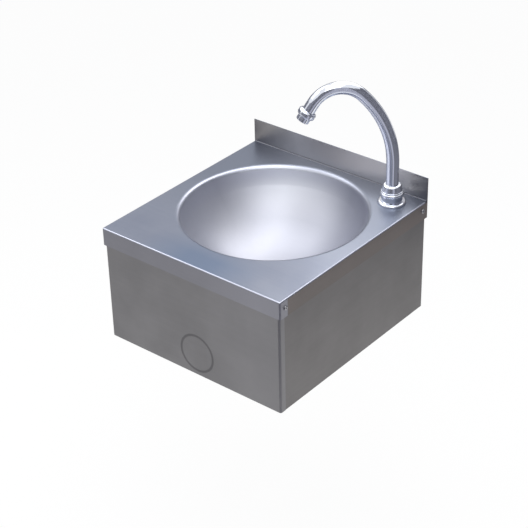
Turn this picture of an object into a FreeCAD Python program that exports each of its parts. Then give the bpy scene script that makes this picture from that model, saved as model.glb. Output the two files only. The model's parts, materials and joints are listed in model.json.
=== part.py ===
"""Wall-hung stainless steel hand wash sink, worked by a knee panel.

A folded deck with a pressed round bowl sits on a folded casing. The casing's front is a
panel that hangs on two pivot screws: a knee pushes it in, it presses the button of a
self-closing valve behind it, and mixed water runs through a hose to a swivelling spout.

Frame: millimetres, X to the right, Y towards the wall, Z up. The origin is the centre of
the four wall fixing holes, on the wall's plane.
"""
import FreeCAD, Part
import math
import os

import Sketcher

os.makedirs("parts", exist_ok=True)
doc = FreeCAD.newDocument("hand_wash_sink")
Vector = FreeCAD.Vector
Rotation = FreeCAD.Rotation

STRAINER_HOLES = 8
INSERT_RINGS = 2
CELLS_PER_RING = 6

# ---------------------------------------------------------------- driving dimensions

DIMENSIONS = [
    # deck and casing
    ("deck_width", 400),
    ("deck_depth", 424),
    ("deck_level", 125),
    ("deck_sheet", 1.2),
    ("skirt_depth", 34),
    ("skirt_corner_radius", 3),
    ("fold_radius", 2.5),
    ("corner_tab", 20),
    ("tab_seam", 0.5),
    ("seam_below_deck", 4),
    ("upstand_rise", 46),
    ("crease_radius", 2),
    ("casing_drop", 226),
    ("casing_sheet", 1),
    ("casing_inset", 3.5),
    ("casing_bend", 1.5),
    ("rear_flange", 25),
    ("bottom_flange", 12),
    ("swing_room", 13),
    ("side_ear_setback", 6),
    ("side_ear_margin", 4),
    ("rail_end_gap", 4.2),
    ("rail_height", 35),
    ("rail_depth", 12),
    ("rail_sheet", 1.5),
    ("wall_hole_radius", 4.25),
    ("wall_hole_inset", 13.2),
    ("wall_hole_spacing_z", 130),
    # bowl
    ("front_ledge", 56),
    ("rear_ledge", 16),
    ("rim_radius", 10),
    ("rim_turn", 80),
    ("bowl_side_ratio", 0.568),
    ("bowl_depth_ratio", 0.756),
    ("bowl_floor_radius", 36),
    ("waste_hole_radius", 22.5),
    # knee panel and its pivots
    ("panel_gap", 0.8),
    ("panel_bend", 4),
    ("panel_top_drop", 10),
    ("return_depth", 13),
    ("return_overlap", 1),
    ("corner_slot", 1.8),
    ("lap_gap", 0.3),
    ("ear_depth", 20),
    ("ear_height", 18),
    ("pivot_setback", 14),
    ("pivot_drop", 16),
    ("bush_radius", 3.25),
    ("bush_flange_radius", 5),
    ("pad_radius", 16),
    ("pad_thickness", 6),
    ("pad_edge", 1),
    # small screws through the skirts
    ("screw_radius", 2),
    ("screw_head_radius", 4.2),
    ("screw_head_height", 2.2),
    ("screw_head_edge", 1.5),
    ("socket_flats", 2.5),
    ("socket_depth", 1.3),
    ("screw_tail", 1.5),
    ("nut_flats", 7),
    ("nut_height", 3.2),
    ("spacer_radius", 5),
    ("rear_screw_setback", 14.5),
    ("rear_screw_drop", 15),
    ("running_clearance", 0.05),
    ("thread_clearance", 0.05),
    ("unlike_gap", 0.3),
    # knee valve
    ("valve_drop", 140),
    ("bracket_setback", 52),
    ("bracket_sheet", 1.5),
    ("bracket_height", 60),
    ("bracket_flange", 12),
    ("bracket_tab", 15),
    ("button_radius", 11),
    ("button_dome", 20),
    ("button_length", 12),
    ("button_room", 7.2),
    ("stem_radius", 4),
    ("stem_in_button", 6),
    ("bonnet_radius", 13),
    ("bonnet_screwed_in", 6.5),
    ("bonnet_guide", 15),
    ("bonnet_chamber", 8),
    ("stem_seal_wire", 1),
    ("stem_seal_setback", 6),
    ("locknut_flats", 34),
    ("locknut_height", 8),
    ("valve_radius", 20),
    ("valve_length", 58.5),
    ("outlet_offset", 14.5),
    ("seat_offset", 21.5),
    ("seat_thickness", 3),
    ("seat_hole", 6),
    ("inlet_offset", 39.5),
    ("chamber_radius", 10.5),
    ("disc_radius", 9.5),
    ("disc_thickness", 3),
    ("piston_thickness", 4),
    ("cap_thread_radius", 12),
    ("cap_thread_length", 6),
    ("cap_flats", 30),
    ("cap_height", 6),
    ("spring_radius", 6.5),
    ("spring_wire", 0.8),
    ("spring_turns", 6),
    ("outlet_boss_radius", 11),
    ("outlet_boss_end", 24),
    ("outlet_thread_radius", 8.33),
    ("outlet_thread_length", 12),
    ("outlet_bore", 5.5),
    ("inlet_boss_radius", 12),
    ("inlet_boss_drop", 30),
    ("inlet_bore", 7),
    # mixing tee
    ("tee_drop", 46.5),
    ("tee_radius", 10),
    ("tee_bore", 6.5),
    ("tee_end_wall", 4),
    ("inlet_spread", 36),
    ("inlet_drop", 25),
    ("inlet_thread_length", 12),
    ("inlet_neck_radius", 9.6),
    ("stub_radius", 9),
    ("stub_collar", 11.5),
    ("stub_collar_height", 3),
    ("stub_bore", 6),
    ("inlet_thread_radius", 10.48),
    ("union_flats", 30),
    ("union_height", 14),
    ("union_lip", 3),
    ("check_valve_length", 12),
    ("check_valve_bore", 3),
    ("filter_thickness", 1.5),
    # hose
    ("hose_radius", 6),
    ("hose_bore", 4),
    ("hose_bend", 60),
    ("sleeve_radius", 7.5),
    ("sleeve_length", 25.5),
    ("sleeve_grip", 18),
    ("tail_flange", 2.5),
    ("tail_flange_play", 0.2),
    ("hose_washer", 2),
    ("hose_nut_lip", 3),
    ("outlet_nut_flats", 22),
    ("shank_nut_flats", 25),
    ("hose_nut_cover", 7),
    # spout foot
    ("spout_side", 48.5),
    ("spout_back", 42.5),
    ("spout_hole_radius", 11),
    ("shank_drop", 60),
    ("waterway_radius", 6.5),
    ("rosette_radius", 26),
    ("rosette_rise", 5.3),
    ("rosette_edge", 4.2),
    ("foot_radius", 19.25),
    ("foot_top", 17),
    ("bead_radius", 21.5),
    ("bead_top", 23),
    ("bead_edge", 2.6),
    ("neck_radius", 15.5),
    ("neck_top", 31),
    ("socket_floor", 13.5),
    ("foot_gasket", 1),
    ("under_gasket", 3),
    ("under_washer", 1.5),
    ("washer_radius", 18),
    ("backnut_flats", 30),
    ("backnut_height", 9),
    ("capnut_radius", 18.8),
    ("capnut_lip_radius", 20),
    ("capnut_lip_height", 2.6),
    ("capnut_top", 38),
    ("capnut_slope_start", 28),
    ("capnut_crown_radius", 16.5),
    ("capnut_dome", 4.8),
    ("capnut_lip_round", 1),
    ("capnut_shoulder", 33),
    ("o_ring_wire", 1.2),
    ("o_ring_low", 19),
    ("o_ring_high", 26),
    # spout
    ("spout_heading", 225),
    ("spout_radius", 11.5),
    ("spout_wall", 1.25),
    ("spout_foot", 14),
    ("riser_top", 78.5),
    ("sweep_radius", 193),
    ("sweep_turn", 45),
    ("crook_radius", 54),
    ("crook_turn", 103),
    ("mouth_straight", 19),
    ("slip_ring_radius", 13.2),
    ("slip_ring_height", 1.4),
    ("collar_radius", 16.3),
    ("collar_length", 12.5),
    ("collar_overlap", 3),
    ("collar_edge", 4.4),
    ("collar_wall", 2.6),
    ("aerator_radius", 12),
    ("aerator_reach", 9),
    ("aerator_screwed_in", 6),
    ("aerator_wall", 1.5),
    ("aerator_edge", 0.8),
    ("insert_inset", 1.2),
    ("insert_cell", 1.3),
    ("insert_pitch", 3.4),
    ("aerator_washer", 1.5),
    # waste
    ("strainer_radius", 31.5),
    ("strainer_sheet", 2),
    ("strainer_round", 1.2),
    ("cup_radius", 20),
    ("cup_depth", 8),
    ("cup_wall", 1.2),
    ("strainer_hole", 3),
    ("strainer_ring", 12.5),
    ("waste_gasket", 1.5),
    ("waste_gasket_radius", 30),
    ("lower_gasket", 3),
    ("waste_rim_radius", 33),
    ("waste_rim_height", 4),
    ("waste_cup_radius", 24),
    ("waste_cup_drop", 30),
    ("waste_cone_drop", 38),
    ("waste_tail_drop", 68),
    ("waste_thread_radius", 20.955),
    ("waste_bore", 18),
    ("waste_cup_bore", 21),
    ("bridge_drop", 24),
    ("bridge_size", 6),
    ("waste_screw_radius", 3),
    ("waste_screw_head", 6),
    ("waste_screw_head_height", 2),
]

# Places worked out from the driving dimensions. Heights are in the row frame.
PLACES = [
    ("half_width", "=dims.deck_width / 2"),
    ("skirt_inner", "=half_width - dims.deck_sheet"),
    ("front", "=-dims.deck_depth"),
    ("skirt_bottom", "=dims.deck_level - dims.skirt_depth"),
    ("upstand_face", "=-dims.deck_sheet"),
    ("crease_y", "=upstand_face - dims.crease_radius"),
    ("crease_top", "=dims.deck_level + dims.crease_radius"),
    ("deck_under", "=dims.deck_level - dims.deck_sheet"),
    ("casing_bottom", "=dims.deck_level - dims.casing_drop"),
    ("panel_face_x", "=half_width - dims.casing_inset"),
    ("panel_inner_x", "=panel_face_x - dims.casing_sheet"),
    ("side_face_x", "=panel_inner_x - dims.lap_gap"),
    ("side_inner_x", "=side_face_x - dims.casing_sheet"),
    ("panel_front", "=front + dims.deck_sheet + dims.panel_gap"),
    ("panel_back", "=panel_front + dims.casing_sheet"),
    ("return_end", "=panel_front + dims.return_depth"),
    ("flange_front", "=return_end + dims.swing_room"),
    ("wall_hole_x", "=side_face_x - dims.wall_hole_inset"),
    ("rail_half", "=side_inner_x - dims.rail_end_gap"),
    ("panel_top", "=dims.deck_level - dims.panel_top_drop"),
    ("pivot_y", "=front + dims.pivot_setback"),
    ("pivot_z", "=dims.deck_level - dims.pivot_drop"),
    ("rear_screw_y", "=-dims.rear_screw_setback"),
    ("rear_screw_z", "=dims.deck_level - dims.rear_screw_drop"),
    ("screw_hole", "=dims.screw_radius + dims.thread_clearance"),
    # the bowl's section: rim arc, side arc and a round bottom that the floor cuts off
    ("axis", "=0"),
    ("rim_edge", "=(dims.deck_depth - dims.front_ledge - dims.rear_ledge) / 2"),
    ("bowl_y", "=front + dims.front_ledge + rim_edge"),
    ("rim_centre_z", "=dims.deck_level - dims.rim_radius"),
    ("wall_r", "=rim_edge - dims.rim_radius * sin(dims.rim_turn)"),
    ("wall_z", "=rim_centre_z + dims.rim_radius * cos(dims.rim_turn)"),
    ("side_radius", "=rim_edge * dims.bowl_side_ratio"),
    ("side_centre_r", "=wall_r - side_radius * sin(dims.rim_turn)"),
    ("side_centre_z", "=wall_z + side_radius * cos(dims.rim_turn)"),
    ("bowl_low_z", "=dims.deck_level - rim_edge * dims.bowl_depth_ratio"),
    ("side_rise", "=side_centre_z - bowl_low_z"),
    ("bottom_radius", "=(side_centre_r ^ 2 + side_rise ^ 2 - side_radius ^ 2)"
                      " / (2 * (side_rise - side_radius))"),
    ("bottom_centre_z", "=bowl_low_z + bottom_radius"),
    ("join_sine", "=side_centre_r / (bottom_radius - side_radius)"),
    ("join_cosine", "=(bottom_radius - side_rise) / (bottom_radius - side_radius)"),
    ("join_r", "=bottom_radius * join_sine"),
    ("join_z", "=bottom_centre_z - bottom_radius * join_cosine"),
    ("floor_z", "=bottom_centre_z - sqrt(bottom_radius ^ 2 - dims.bowl_floor_radius ^ 2)"),
    ("floor_under", "=floor_z - dims.deck_sheet"),
    ("outer_bottom_radius", "=bottom_radius + dims.deck_sheet"),
    ("outer_side_radius", "=side_radius + dims.deck_sheet"),
    ("outer_rim_radius", "=dims.rim_radius - dims.deck_sheet"),
    ("outer_wall_r", "=rim_edge - outer_rim_radius * sin(dims.rim_turn)"),
    ("outer_wall_z", "=rim_centre_z + outer_rim_radius * cos(dims.rim_turn)"),
    ("outer_join_r", "=outer_bottom_radius * join_sine"),
    ("outer_join_z", "=bottom_centre_z - outer_bottom_radius * join_cosine"),
    ("outer_floor_r", "=sqrt(outer_bottom_radius ^ 2 - (bottom_centre_z - floor_under) ^ 2)"),
    # knee valve, along Y
    ("valve_z", "=pivot_z - dims.valve_drop"),
    ("pad_face", "=panel_back + dims.pad_thickness"),
    ("button_tip", "=pad_face + dims.unlike_gap"),
    ("button_end", "=button_tip + dims.button_length"),
    ("bonnet_front", "=button_end + dims.button_room"),
    ("bracket_y", "=front + dims.bracket_setback"),
    ("shoulder", "=bracket_y + dims.bracket_sheet"),
    ("bonnet_end", "=shoulder + dims.bonnet_screwed_in"),
    ("outlet_y", "=shoulder + dims.outlet_offset"),
    ("seat_front", "=shoulder + dims.seat_offset"),
    ("seat_back", "=seat_front + dims.seat_thickness"),
    ("inlet_y", "=shoulder + dims.inlet_offset"),
    ("valve_end", "=shoulder + dims.valve_length"),
    ("disc_back", "=seat_back + dims.disc_thickness"),
    ("piston_back", "=disc_back + dims.piston_thickness"),
    ("cap_face", "=valve_end - dims.cap_thread_length"),
    ("stem_bore", "=dims.stem_radius + dims.running_clearance"),
    ("bonnet_bore", "=dims.bonnet_radius + dims.thread_clearance"),
    ("stem_seal_y", "=bonnet_front + dims.stem_seal_setback"),
    ("tee_z", "=valve_z - dims.tee_drop"),
    ("boss_bottom", "=valve_z - dims.inlet_boss_drop"),
    ("collar_bottom", "=boss_bottom - dims.stub_collar_height"),
    ("union_bottom", "=collar_bottom - dims.union_lip"),
    ("tee_end", "=dims.inlet_spread + dims.inlet_thread_radius"),
    ("inlet_bottom", "=tee_z - dims.inlet_drop"),
    ("inlet_thread_top", "=inlet_bottom + dims.inlet_thread_length"),
    # spout and hose
    ("spout_x", "=half_width - dims.spout_side"),
    ("spout_y", "=-dims.spout_back"),
    ("shank_bottom", "=dims.deck_level - dims.shank_drop"),
    ("socket_radius", "=dims.spout_radius + dims.running_clearance"),
    ("outlet_end", "=dims.outlet_boss_end + dims.outlet_thread_length"),
    ("outlet_hose_start", "=outlet_end + dims.hose_washer + dims.tail_flange"
                          " + dims.sleeve_length - dims.sleeve_grip"),
    ("shank_hose_end", "=shank_bottom - dims.hose_washer - dims.tail_flange"
                       " - dims.sleeve_length + dims.sleeve_grip"),
    # the spout's centre line, in its own upright plane: out along X, up along Z
    ("sweep_end_x", "=dims.sweep_radius * (1 - cos(dims.sweep_turn))"),
    ("sweep_end_z", "=dims.riser_top + dims.sweep_radius * sin(dims.sweep_turn)"),
    ("crook_centre_x", "=sweep_end_x + dims.crook_radius * cos(dims.sweep_turn)"),
    ("crook_centre_z", "=sweep_end_z - dims.crook_radius * sin(dims.sweep_turn)"),
    ("spout_turn", "=dims.sweep_turn + dims.crook_turn"),
    ("crook_end_x", "=crook_centre_x - dims.crook_radius * cos(spout_turn)"),
    ("crook_end_z", "=crook_centre_z + dims.crook_radius * sin(spout_turn)"),
    ("mouth_x", "=crook_end_x + dims.mouth_straight * sin(spout_turn)"),
    ("mouth_z", "=crook_end_z + dims.mouth_straight * cos(spout_turn)"),
]


def new_sheet(name, rows):
    """A spreadsheet with one aliased cell for each row of (alias, content)."""
    sheet = doc.addObject("Spreadsheet::Sheet", name)
    for number, (alias, content) in enumerate(rows, start=1):
        sheet.set("A%d" % number, alias)
        sheet.set("B%d" % number, str(content))
        sheet.setAlias("B%d" % number, alias)
    doc.recompute()
    return sheet


dims = new_sheet("dims", DIMENSIONS)
place = new_sheet("place", PLACES)

# ---------------------------------------------------------------- shared helpers

FINISHED = {}


def finish(label, obj):
    """Label an object as a finished sub-part."""
    obj.Label = label
    FINISHED[label] = obj
    return obj


def bind(obj, **sizes):
    """Tie properties of an object to expressions."""
    for prop, formula in sizes.items():
        obj.setExpression(prop, formula)
    return obj


# Rotations that lay a primitive's own Z axis along X, Y or Z.
LIE = {
    "x": Rotation(Vector(0, 1, 0), 90),
    "y": Rotation(Vector(1, 0, 0), -90),
    "z": Rotation(),
}


def seat(obj, x, y, z, turn):
    """Turn an object and bind its position."""
    obj.Placement = FreeCAD.Placement(Vector(), turn)
    obj.setExpression("Placement.Base.x", x)
    obj.setExpression("Placement.Base.y", y)
    obj.setExpression("Placement.Base.z", z)
    return obj


def primitive(kind, name, at, axis, **sizes):
    obj = doc.addObject(kind, name)
    bind(obj, **sizes)
    return seat(obj, at[0], at[1], at[2], LIE[axis])


def cylinder(name, radius, length, at, axis="z"):
    return primitive("Part::Cylinder", name, at, axis, Radius=radius, Height=length)


def cone(name, radius1, radius2, length, at, axis="z"):
    return primitive("Part::Cone", name, at, axis, Radius1=radius1, Radius2=radius2, Height=length)


def torus(name, major, minor, at, axis="z"):
    return primitive("Part::Torus", name, at, axis, Radius1=major, Radius2=minor)


def sphere(name, radius, at):
    return primitive("Part::Sphere", name, at, "z", Radius=radius)


def box(name, length, width, height, at):
    return primitive("Part::Box", name, at, "z", Length=length, Width=width, Height=height)


def hexagon(name, flats, length, at, axis="z"):
    """A hexagonal prism given by its size across flats."""
    obj = doc.addObject("Part::Prism", name)
    obj.Polygon = 6
    bind(obj, Circumradius="(%s) / (2 * cos(30))" % flats, Height=length)
    return seat(obj, at[0], at[1], at[2], LIE[axis])


def fuse(name, *shapes):
    obj = doc.addObject("Part::MultiFuse", name)
    obj.Shapes = list(shapes)
    obj.Refine = True
    return obj


def cut(name, base, *tools):
    obj = doc.addObject("Part::Cut", name)
    obj.Base = base
    obj.Tool = tools[0] if len(tools) == 1 else fuse(name + "_tools", *tools)
    obj.Refine = True
    return obj


def common(name, base, tool):
    obj = doc.addObject("Part::Common", name)
    obj.Base = base
    obj.Tool = tool
    return obj


def group(name, *solids):
    """Separate solids kept together as one sub-part."""
    obj = doc.addObject("Part::Compound", name)
    obj.Links = list(solids)
    return obj


def ring(name, outer, inner, length, at, axis="z"):
    """A tube section, bored right through."""
    return cut(name, cylinder(name + "_outside", outer, length, at, axis),
               cylinder(name + "_bore", inner, length, at, axis))


def edges_where(shape, test):
    return [number for number, edge in enumerate(shape.Edges, start=1) if test(edge)]


def rounded(name, base, radius, test):
    """Part fillet of one radius, read from the sheet, on the edges that pass a test."""
    doc.recompute()
    obj = doc.addObject("Part::Fillet", name)
    obj.Base = base
    obj.Edges = [(number, radius, radius) for number in edges_where(base.Shape, test)]
    return obj


def near(value, target):
    return abs(value - target) < 1e-4


def lies_at(edge, **limits):
    """True when the edge's box is flat at each given coordinate, such as z=10."""
    bounds = edge.BoundBox
    spans = {"x": (bounds.XMin, bounds.XMax), "y": (bounds.YMin, bounds.YMax),
             "z": (bounds.ZMin, bounds.ZMax)}
    return all(near(spans[axis][0], value) and near(spans[axis][1], value)
               for axis, value in limits.items())


def circle_of(edge, radius):
    """True for a circular edge of this radius."""
    return isinstance(edge.Curve, Part.Circle) and near(edge.Curve.Radius, radius)


# ---------------------------------------------------------------- sketch and body helpers


def new_body(label):
    body = doc.addObject("PartDesign::Body", label + "_body")
    return finish(label, body)


def sketch_on(body, name, plane, offset):
    """A sketch on one of the body's origin planes, moved along the plane's normal."""
    sketch = body.newObject("Sketcher::SketchObject", name)
    origin = next(item for item in body.Origin.OriginFeatures if item.Role == plane)
    sketch.AttachmentSupport = (origin, [""])
    sketch.MapMode = "FlatFace"
    sketch.setExpression("AttachmentOffset.Base.z", offset)
    return sketch


def fix_point(sketch, geometry, point, x, y, start=(1.0, 1.0)):
    """Bind one point's two coordinates to expressions; start is where they are now."""
    for kind, formula, now in (("DistanceX", x, start[0]), ("DistanceY", y, start[1])):
        number = sketch.addConstraint(Sketcher.Constraint(kind, geometry, point, now))
        sketch.setExpression("Constraints[%d]" % number, formula)


def polygon(sketch, corners):
    """A closed loop of straight lines through corners given as pairs of expressions."""
    first = sketch.GeometryCount
    count = len(corners)
    step = 2 * math.pi / count
    rough = [Vector(math.cos(i * step), math.sin(i * step), 0) for i in range(count)]
    for i in range(count):
        sketch.addGeometry(Part.LineSegment(rough[i], rough[(i + 1) % count]))
    for i in range(count):
        sketch.addConstraint(
            Sketcher.Constraint("Coincident", first + i, 2, first + (i + 1) % count, 1))
    for i, (x, y) in enumerate(corners):
        fix_point(sketch, first + i, 1, x, y)


def rectangle(sketch, x_low, y_low, x_high, y_high):
    polygon(sketch, [(x_low, y_low), (x_high, y_low), (x_high, y_high), (x_low, y_high)])


def circle(sketch, x, y, radius):
    number = sketch.addGeometry(Part.Circle(Vector(0, 0, 0), Vector(0, 0, 1), 1))
    fix_point(sketch, number, 3, x, y)
    size = sketch.addConstraint(Sketcher.Constraint("Radius", number, 1.0))
    sketch.setExpression("Constraints[%d]" % size, radius)


def value(name):
    """The number held by a sheet's cell, named as in an expression."""
    sheet, alias = name.split(".")
    return doc.getObject(sheet).get(alias)


def arc_through(centre, start, end):
    """The arc under a half circle from start to end, and whether it runs that way round."""
    first = math.atan2(start.y - centre.y, start.x - centre.x)
    last = math.atan2(end.y - centre.y, end.x - centre.x)
    radius = (start - centre).Length
    ring_line = Part.Circle(centre, Vector(0, 0, 1), radius)
    turn = (last - first) % (2 * math.pi)
    if turn < math.pi:
        return Part.ArcOfCircle(ring_line, first, first + turn), True
    return Part.ArcOfCircle(ring_line, last, last + 2 * math.pi - turn), False


def profile(sketch, corners, arcs):
    """A closed loop of lines and arcs through named places.

    corners holds pairs of cell names; arcs maps a corner's number to (centre x, centre y,
    radius) of the arc that leaves it, again as cell names.
    """
    count = len(corners)
    points = [Vector(value(x), value(y), 0) for x, y in corners]
    ends = []
    for i in range(count):
        start = points[i]
        end = points[(i + 1) % count]
        forward = True
        if i in arcs:
            centre = Vector(value(arcs[i][0]), value(arcs[i][1]), 0)
            curve, forward = arc_through(centre, start, end)
        else:
            curve = Part.LineSegment(start, end)
        sketch.addGeometry(curve)
        ends.append((1, 2) if forward else (2, 1))
    for i in range(count):
        following = (i + 1) % count
        sketch.addConstraint(
            Sketcher.Constraint("Coincident", i, ends[i][1], following, ends[following][0]))
    for i, (x, y) in enumerate(corners):
        fix_point(sketch, i, ends[i][0], x, y, (points[i].x, points[i].y))
    for i, (_, _, radius) in arcs.items():
        number = sketch.addConstraint(Sketcher.Constraint("Radius", i, value(radius)))
        sketch.setExpression("Constraints[%d]" % number, radius)


def pad(body, name, sketch, length):
    """Extrude along the sketch's normal."""
    feature = body.newObject("PartDesign::Pad", name)
    feature.Profile = sketch
    feature.setExpression("Length", length)
    doc.recompute()
    return feature


def pocket(body, name, sketch, length, along_normal):
    """Cut away; a pocket runs against the sketch's normal unless it is turned round."""
    before = body.Shape.Volume
    feature = body.newObject("PartDesign::Pocket", name)
    feature.Profile = sketch
    feature.Reversed = along_normal
    feature.setExpression("Length", length)
    doc.recompute()
    if body.Shape.Volume >= before:
        raise RuntimeError(name + " cuts nothing")
    return feature


def fillet(body, name, base, radius, test):
    """Round the edges of the body's last feature that pass a test."""
    feature = body.newObject("PartDesign::Fillet", name)
    feature.Base = (base, ["Edge%d" % number for number in edges_where(base.Shape, test)])
    feature.setExpression("Radius", radius)
    doc.recompute()
    return feature


def span(side, low, high):
    """The lower X expression of a stretch between two distances from the middle plane."""
    return low if side > 0 else "-(%s)" % high


# ---------------------------------------------------------------- deck, bowl and casing


def make_deck_shell():
    """Folded deck: top sheet, front and side skirts, rear upstand, bowl and spout openings."""
    body = new_body("deck_shell")
    deck_level = value("dims.deck_level")
    deck_under = value("place.deck_under")
    front = value("place.front")
    inner_front = front + value("dims.deck_sheet")

    outline = sketch_on(body, "deck_outline", "XY_Plane", "place.skirt_bottom")
    rectangle(outline, "-place.half_width", "place.front", "place.half_width", "0")
    blank = pad(body, "deck_blank", outline, "dims.skirt_depth")
    corners = fillet(body, "skirt_corners", blank, "dims.skirt_corner_radius",
                     lambda edge: lies_at(edge, y=front) and not edge.BoundBox.XLength > 1)
    folds = fillet(body, "deck_folds", corners, "dims.fold_radius",
                   lambda edge: lies_at(edge, z=deck_level) and not lies_at(edge, y=0))

    hollow = sketch_on(body, "deck_hollow", "XY_Plane", "place.skirt_bottom")
    rectangle(hollow, "-place.skirt_inner", "place.front + dims.deck_sheet",
              "place.skirt_inner", "dims.deck_sheet")
    opened = pocket(body, "deck_opened", hollow, "dims.skirt_depth - dims.deck_sheet", True)
    inner_corners = fillet(body, "inner_corners", opened,
                           "dims.skirt_corner_radius - dims.deck_sheet",
                           lambda edge: lies_at(edge, y=inner_front)
                           and edge.BoundBox.XLength < 1 and edge.BoundBox.ZLength > 1)
    fillet(body, "inner_folds", inner_corners, "dims.fold_radius - dims.deck_sheet",
           lambda edge: lies_at(edge, z=deck_under) and not lies_at(edge, y=0))

    upstand = sketch_on(body, "upstand_section", "YZ_Plane", "-place.half_width")
    rectangle(upstand, "-dims.deck_sheet", "place.deck_under",
              "0", "dims.deck_level + dims.upstand_rise")
    pad(body, "upstand", upstand, "dims.deck_width")
    crease = sketch_on(body, "crease_section", "YZ_Plane", "-place.half_width + dims.fold_radius")
    profile(crease, [
        ("place.crease_y", "dims.deck_level"),
        ("place.upstand_face", "place.crease_top"),
        ("place.axis", "place.crease_top"),
        ("place.axis", "place.deck_under"),
        ("place.crease_y", "place.deck_under"),
    ], {0: ("place.crease_y", "place.crease_top", "dims.crease_radius")})
    pad(body, "crease", crease, "dims.deck_width - 2 * dims.fold_radius")

    openings = sketch_on(body, "deck_openings", "XY_Plane", "dims.deck_level")
    circle(openings, "0", "place.bowl_y", "place.rim_edge")
    circle(openings, "place.spout_x", "place.spout_y", "dims.spout_hole_radius")
    pocket(body, "deck_cut_outs", openings, "2 * dims.deck_sheet", False)

    holes = sketch_on(body, "skirt_holes", "YZ_Plane", "-place.half_width - dims.deck_sheet")
    circle(holes, "place.pivot_y", "place.pivot_z", "place.screw_hole")
    circle(holes, "place.rear_screw_y", "place.rear_screw_z", "place.screw_hole")
    rectangle(holes, "place.front + dims.corner_tab", "place.skirt_bottom - dims.deck_sheet",
              "place.front + dims.corner_tab + dims.tab_seam",
              "dims.deck_level - dims.seam_below_deck")
    pocket(body, "skirt_cut_outs", holes, "dims.deck_width + 2 * dims.deck_sheet", True)


def make_bowl():
    """Round pressed bowl, butt-welded into the deck at its rolled rim."""
    body = new_body("bowl")
    section = sketch_on(body, "bowl_section", "XZ_Plane", "-place.bowl_y")
    corners = [
        ("dims.waste_hole_radius", "place.floor_z"),
        ("dims.bowl_floor_radius", "place.floor_z"),
        ("place.join_r", "place.join_z"),
        ("place.wall_r", "place.wall_z"),
        ("place.rim_edge", "dims.deck_level"),
        ("place.rim_edge", "place.deck_under"),
        ("place.outer_wall_r", "place.outer_wall_z"),
        ("place.outer_join_r", "place.outer_join_z"),
        ("place.outer_floor_r", "place.floor_under"),
        ("dims.waste_hole_radius", "place.floor_under"),
    ]
    axis_cell = "place.axis"
    arcs = {
        1: (axis_cell, "place.bottom_centre_z", "place.bottom_radius"),
        2: ("place.side_centre_r", "place.side_centre_z", "place.side_radius"),
        3: ("place.rim_edge", "place.rim_centre_z", "dims.rim_radius"),
        5: ("place.rim_edge", "place.rim_centre_z", "place.outer_rim_radius"),
        6: ("place.side_centre_r", "place.side_centre_z", "place.outer_side_radius"),
        7: (axis_cell, "place.bottom_centre_z", "place.outer_bottom_radius"),
    }
    profile(section, corners, arcs)
    turned = body.newObject("PartDesign::Revolution", "bowl_pressing")
    turned.Profile = section
    turned.ReferenceAxis = (section, ["V_Axis"])
    doc.recompute()


def make_side_panel(side, label):
    """Fixed casing side: plate, front ear for the pivot, rear flange and bottom flange."""
    body = new_body(label)
    side_face = side * value("place.side_face_x")
    casing_bottom = value("place.casing_bottom")

    plate = sketch_on(body, label + "_plate", "YZ_Plane",
                      span(side, "place.side_inner_x", "place.side_face_x"))
    polygon(plate, [
        ("0", "place.casing_bottom"),
        ("0", "place.deck_under"),
        ("place.front + dims.side_ear_setback", "place.deck_under"),
        ("place.front + dims.side_ear_setback", "place.skirt_bottom + dims.side_ear_margin"),
        ("place.return_end - dims.return_overlap", "place.skirt_bottom + dims.side_ear_margin"),
        ("place.return_end - dims.return_overlap", "place.casing_bottom"),
    ])
    pad(body, label + "_sheet", plate, "dims.casing_sheet")

    rear = sketch_on(body, label + "_rear", "XZ_Plane", "0")
    rear_low = span(side, "place.side_face_x - dims.rear_flange", "place.side_face_x")
    rectangle(rear, rear_low, "place.casing_bottom",
              rear_low + " + dims.rear_flange", "place.deck_under")
    pad(body, label + "_rear_flange", rear, "dims.casing_sheet")

    low = sketch_on(body, label + "_low", "XY_Plane", "place.casing_bottom")
    low_low = span(side, "place.side_face_x - dims.bottom_flange", "place.side_face_x")
    rectangle(low, low_low, "place.flange_front", low_low + " + dims.bottom_flange", "0")
    flanged = pad(body, label + "_bottom_flange", low, "dims.casing_sheet")

    flange_front = value("place.flange_front")
    fillet(body, label + "_bends", flanged, "dims.casing_bend",
           lambda edge: lies_at(edge, x=side_face, y=0)
           or lies_at(edge, x=side_face, z=casing_bottom)
           and near(edge.BoundBox.YMin, flange_front))

    screws = sketch_on(body, label + "_screws", "YZ_Plane",
                       span(side, "place.side_inner_x", "place.side_face_x")
                       + " - dims.casing_sheet")
    circle(screws, "place.pivot_y", "place.pivot_z", "place.screw_hole")
    circle(screws, "place.rear_screw_y", "place.rear_screw_z", "place.screw_hole")
    pocket(body, label + "_screw_holes", screws, "3 * dims.casing_sheet", True)

    walls = sketch_on(body, label + "_walls", "XZ_Plane", "0")
    hole_x = "%d * place.wall_hole_x" % side
    circle(walls, hole_x, "dims.wall_hole_spacing_z / 2", "dims.wall_hole_radius")
    circle(walls, hole_x, "-dims.wall_hole_spacing_z / 2", "dims.wall_hole_radius")
    pocket(body, label + "_wall_holes", walls, "2 * dims.casing_sheet", True)


def make_rear_rail():
    """Angle rail that ties the two rear flanges together under the deck."""
    upright = box("rail_upright", "2 * place.rail_half", "dims.rail_sheet", "dims.rail_height",
                  ("-place.rail_half", "-dims.casing_sheet - dims.rail_sheet",
                   "place.deck_under - dims.rail_height"))
    level = box("rail_level", "2 * place.rail_half", "dims.rail_depth", "dims.rail_sheet",
                ("-place.rail_half", "-dims.casing_sheet - dims.rail_depth",
                 "place.deck_under - dims.rail_sheet"))
    finish("rear_rail", fuse("rear_rail_shape", upright, level))


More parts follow.
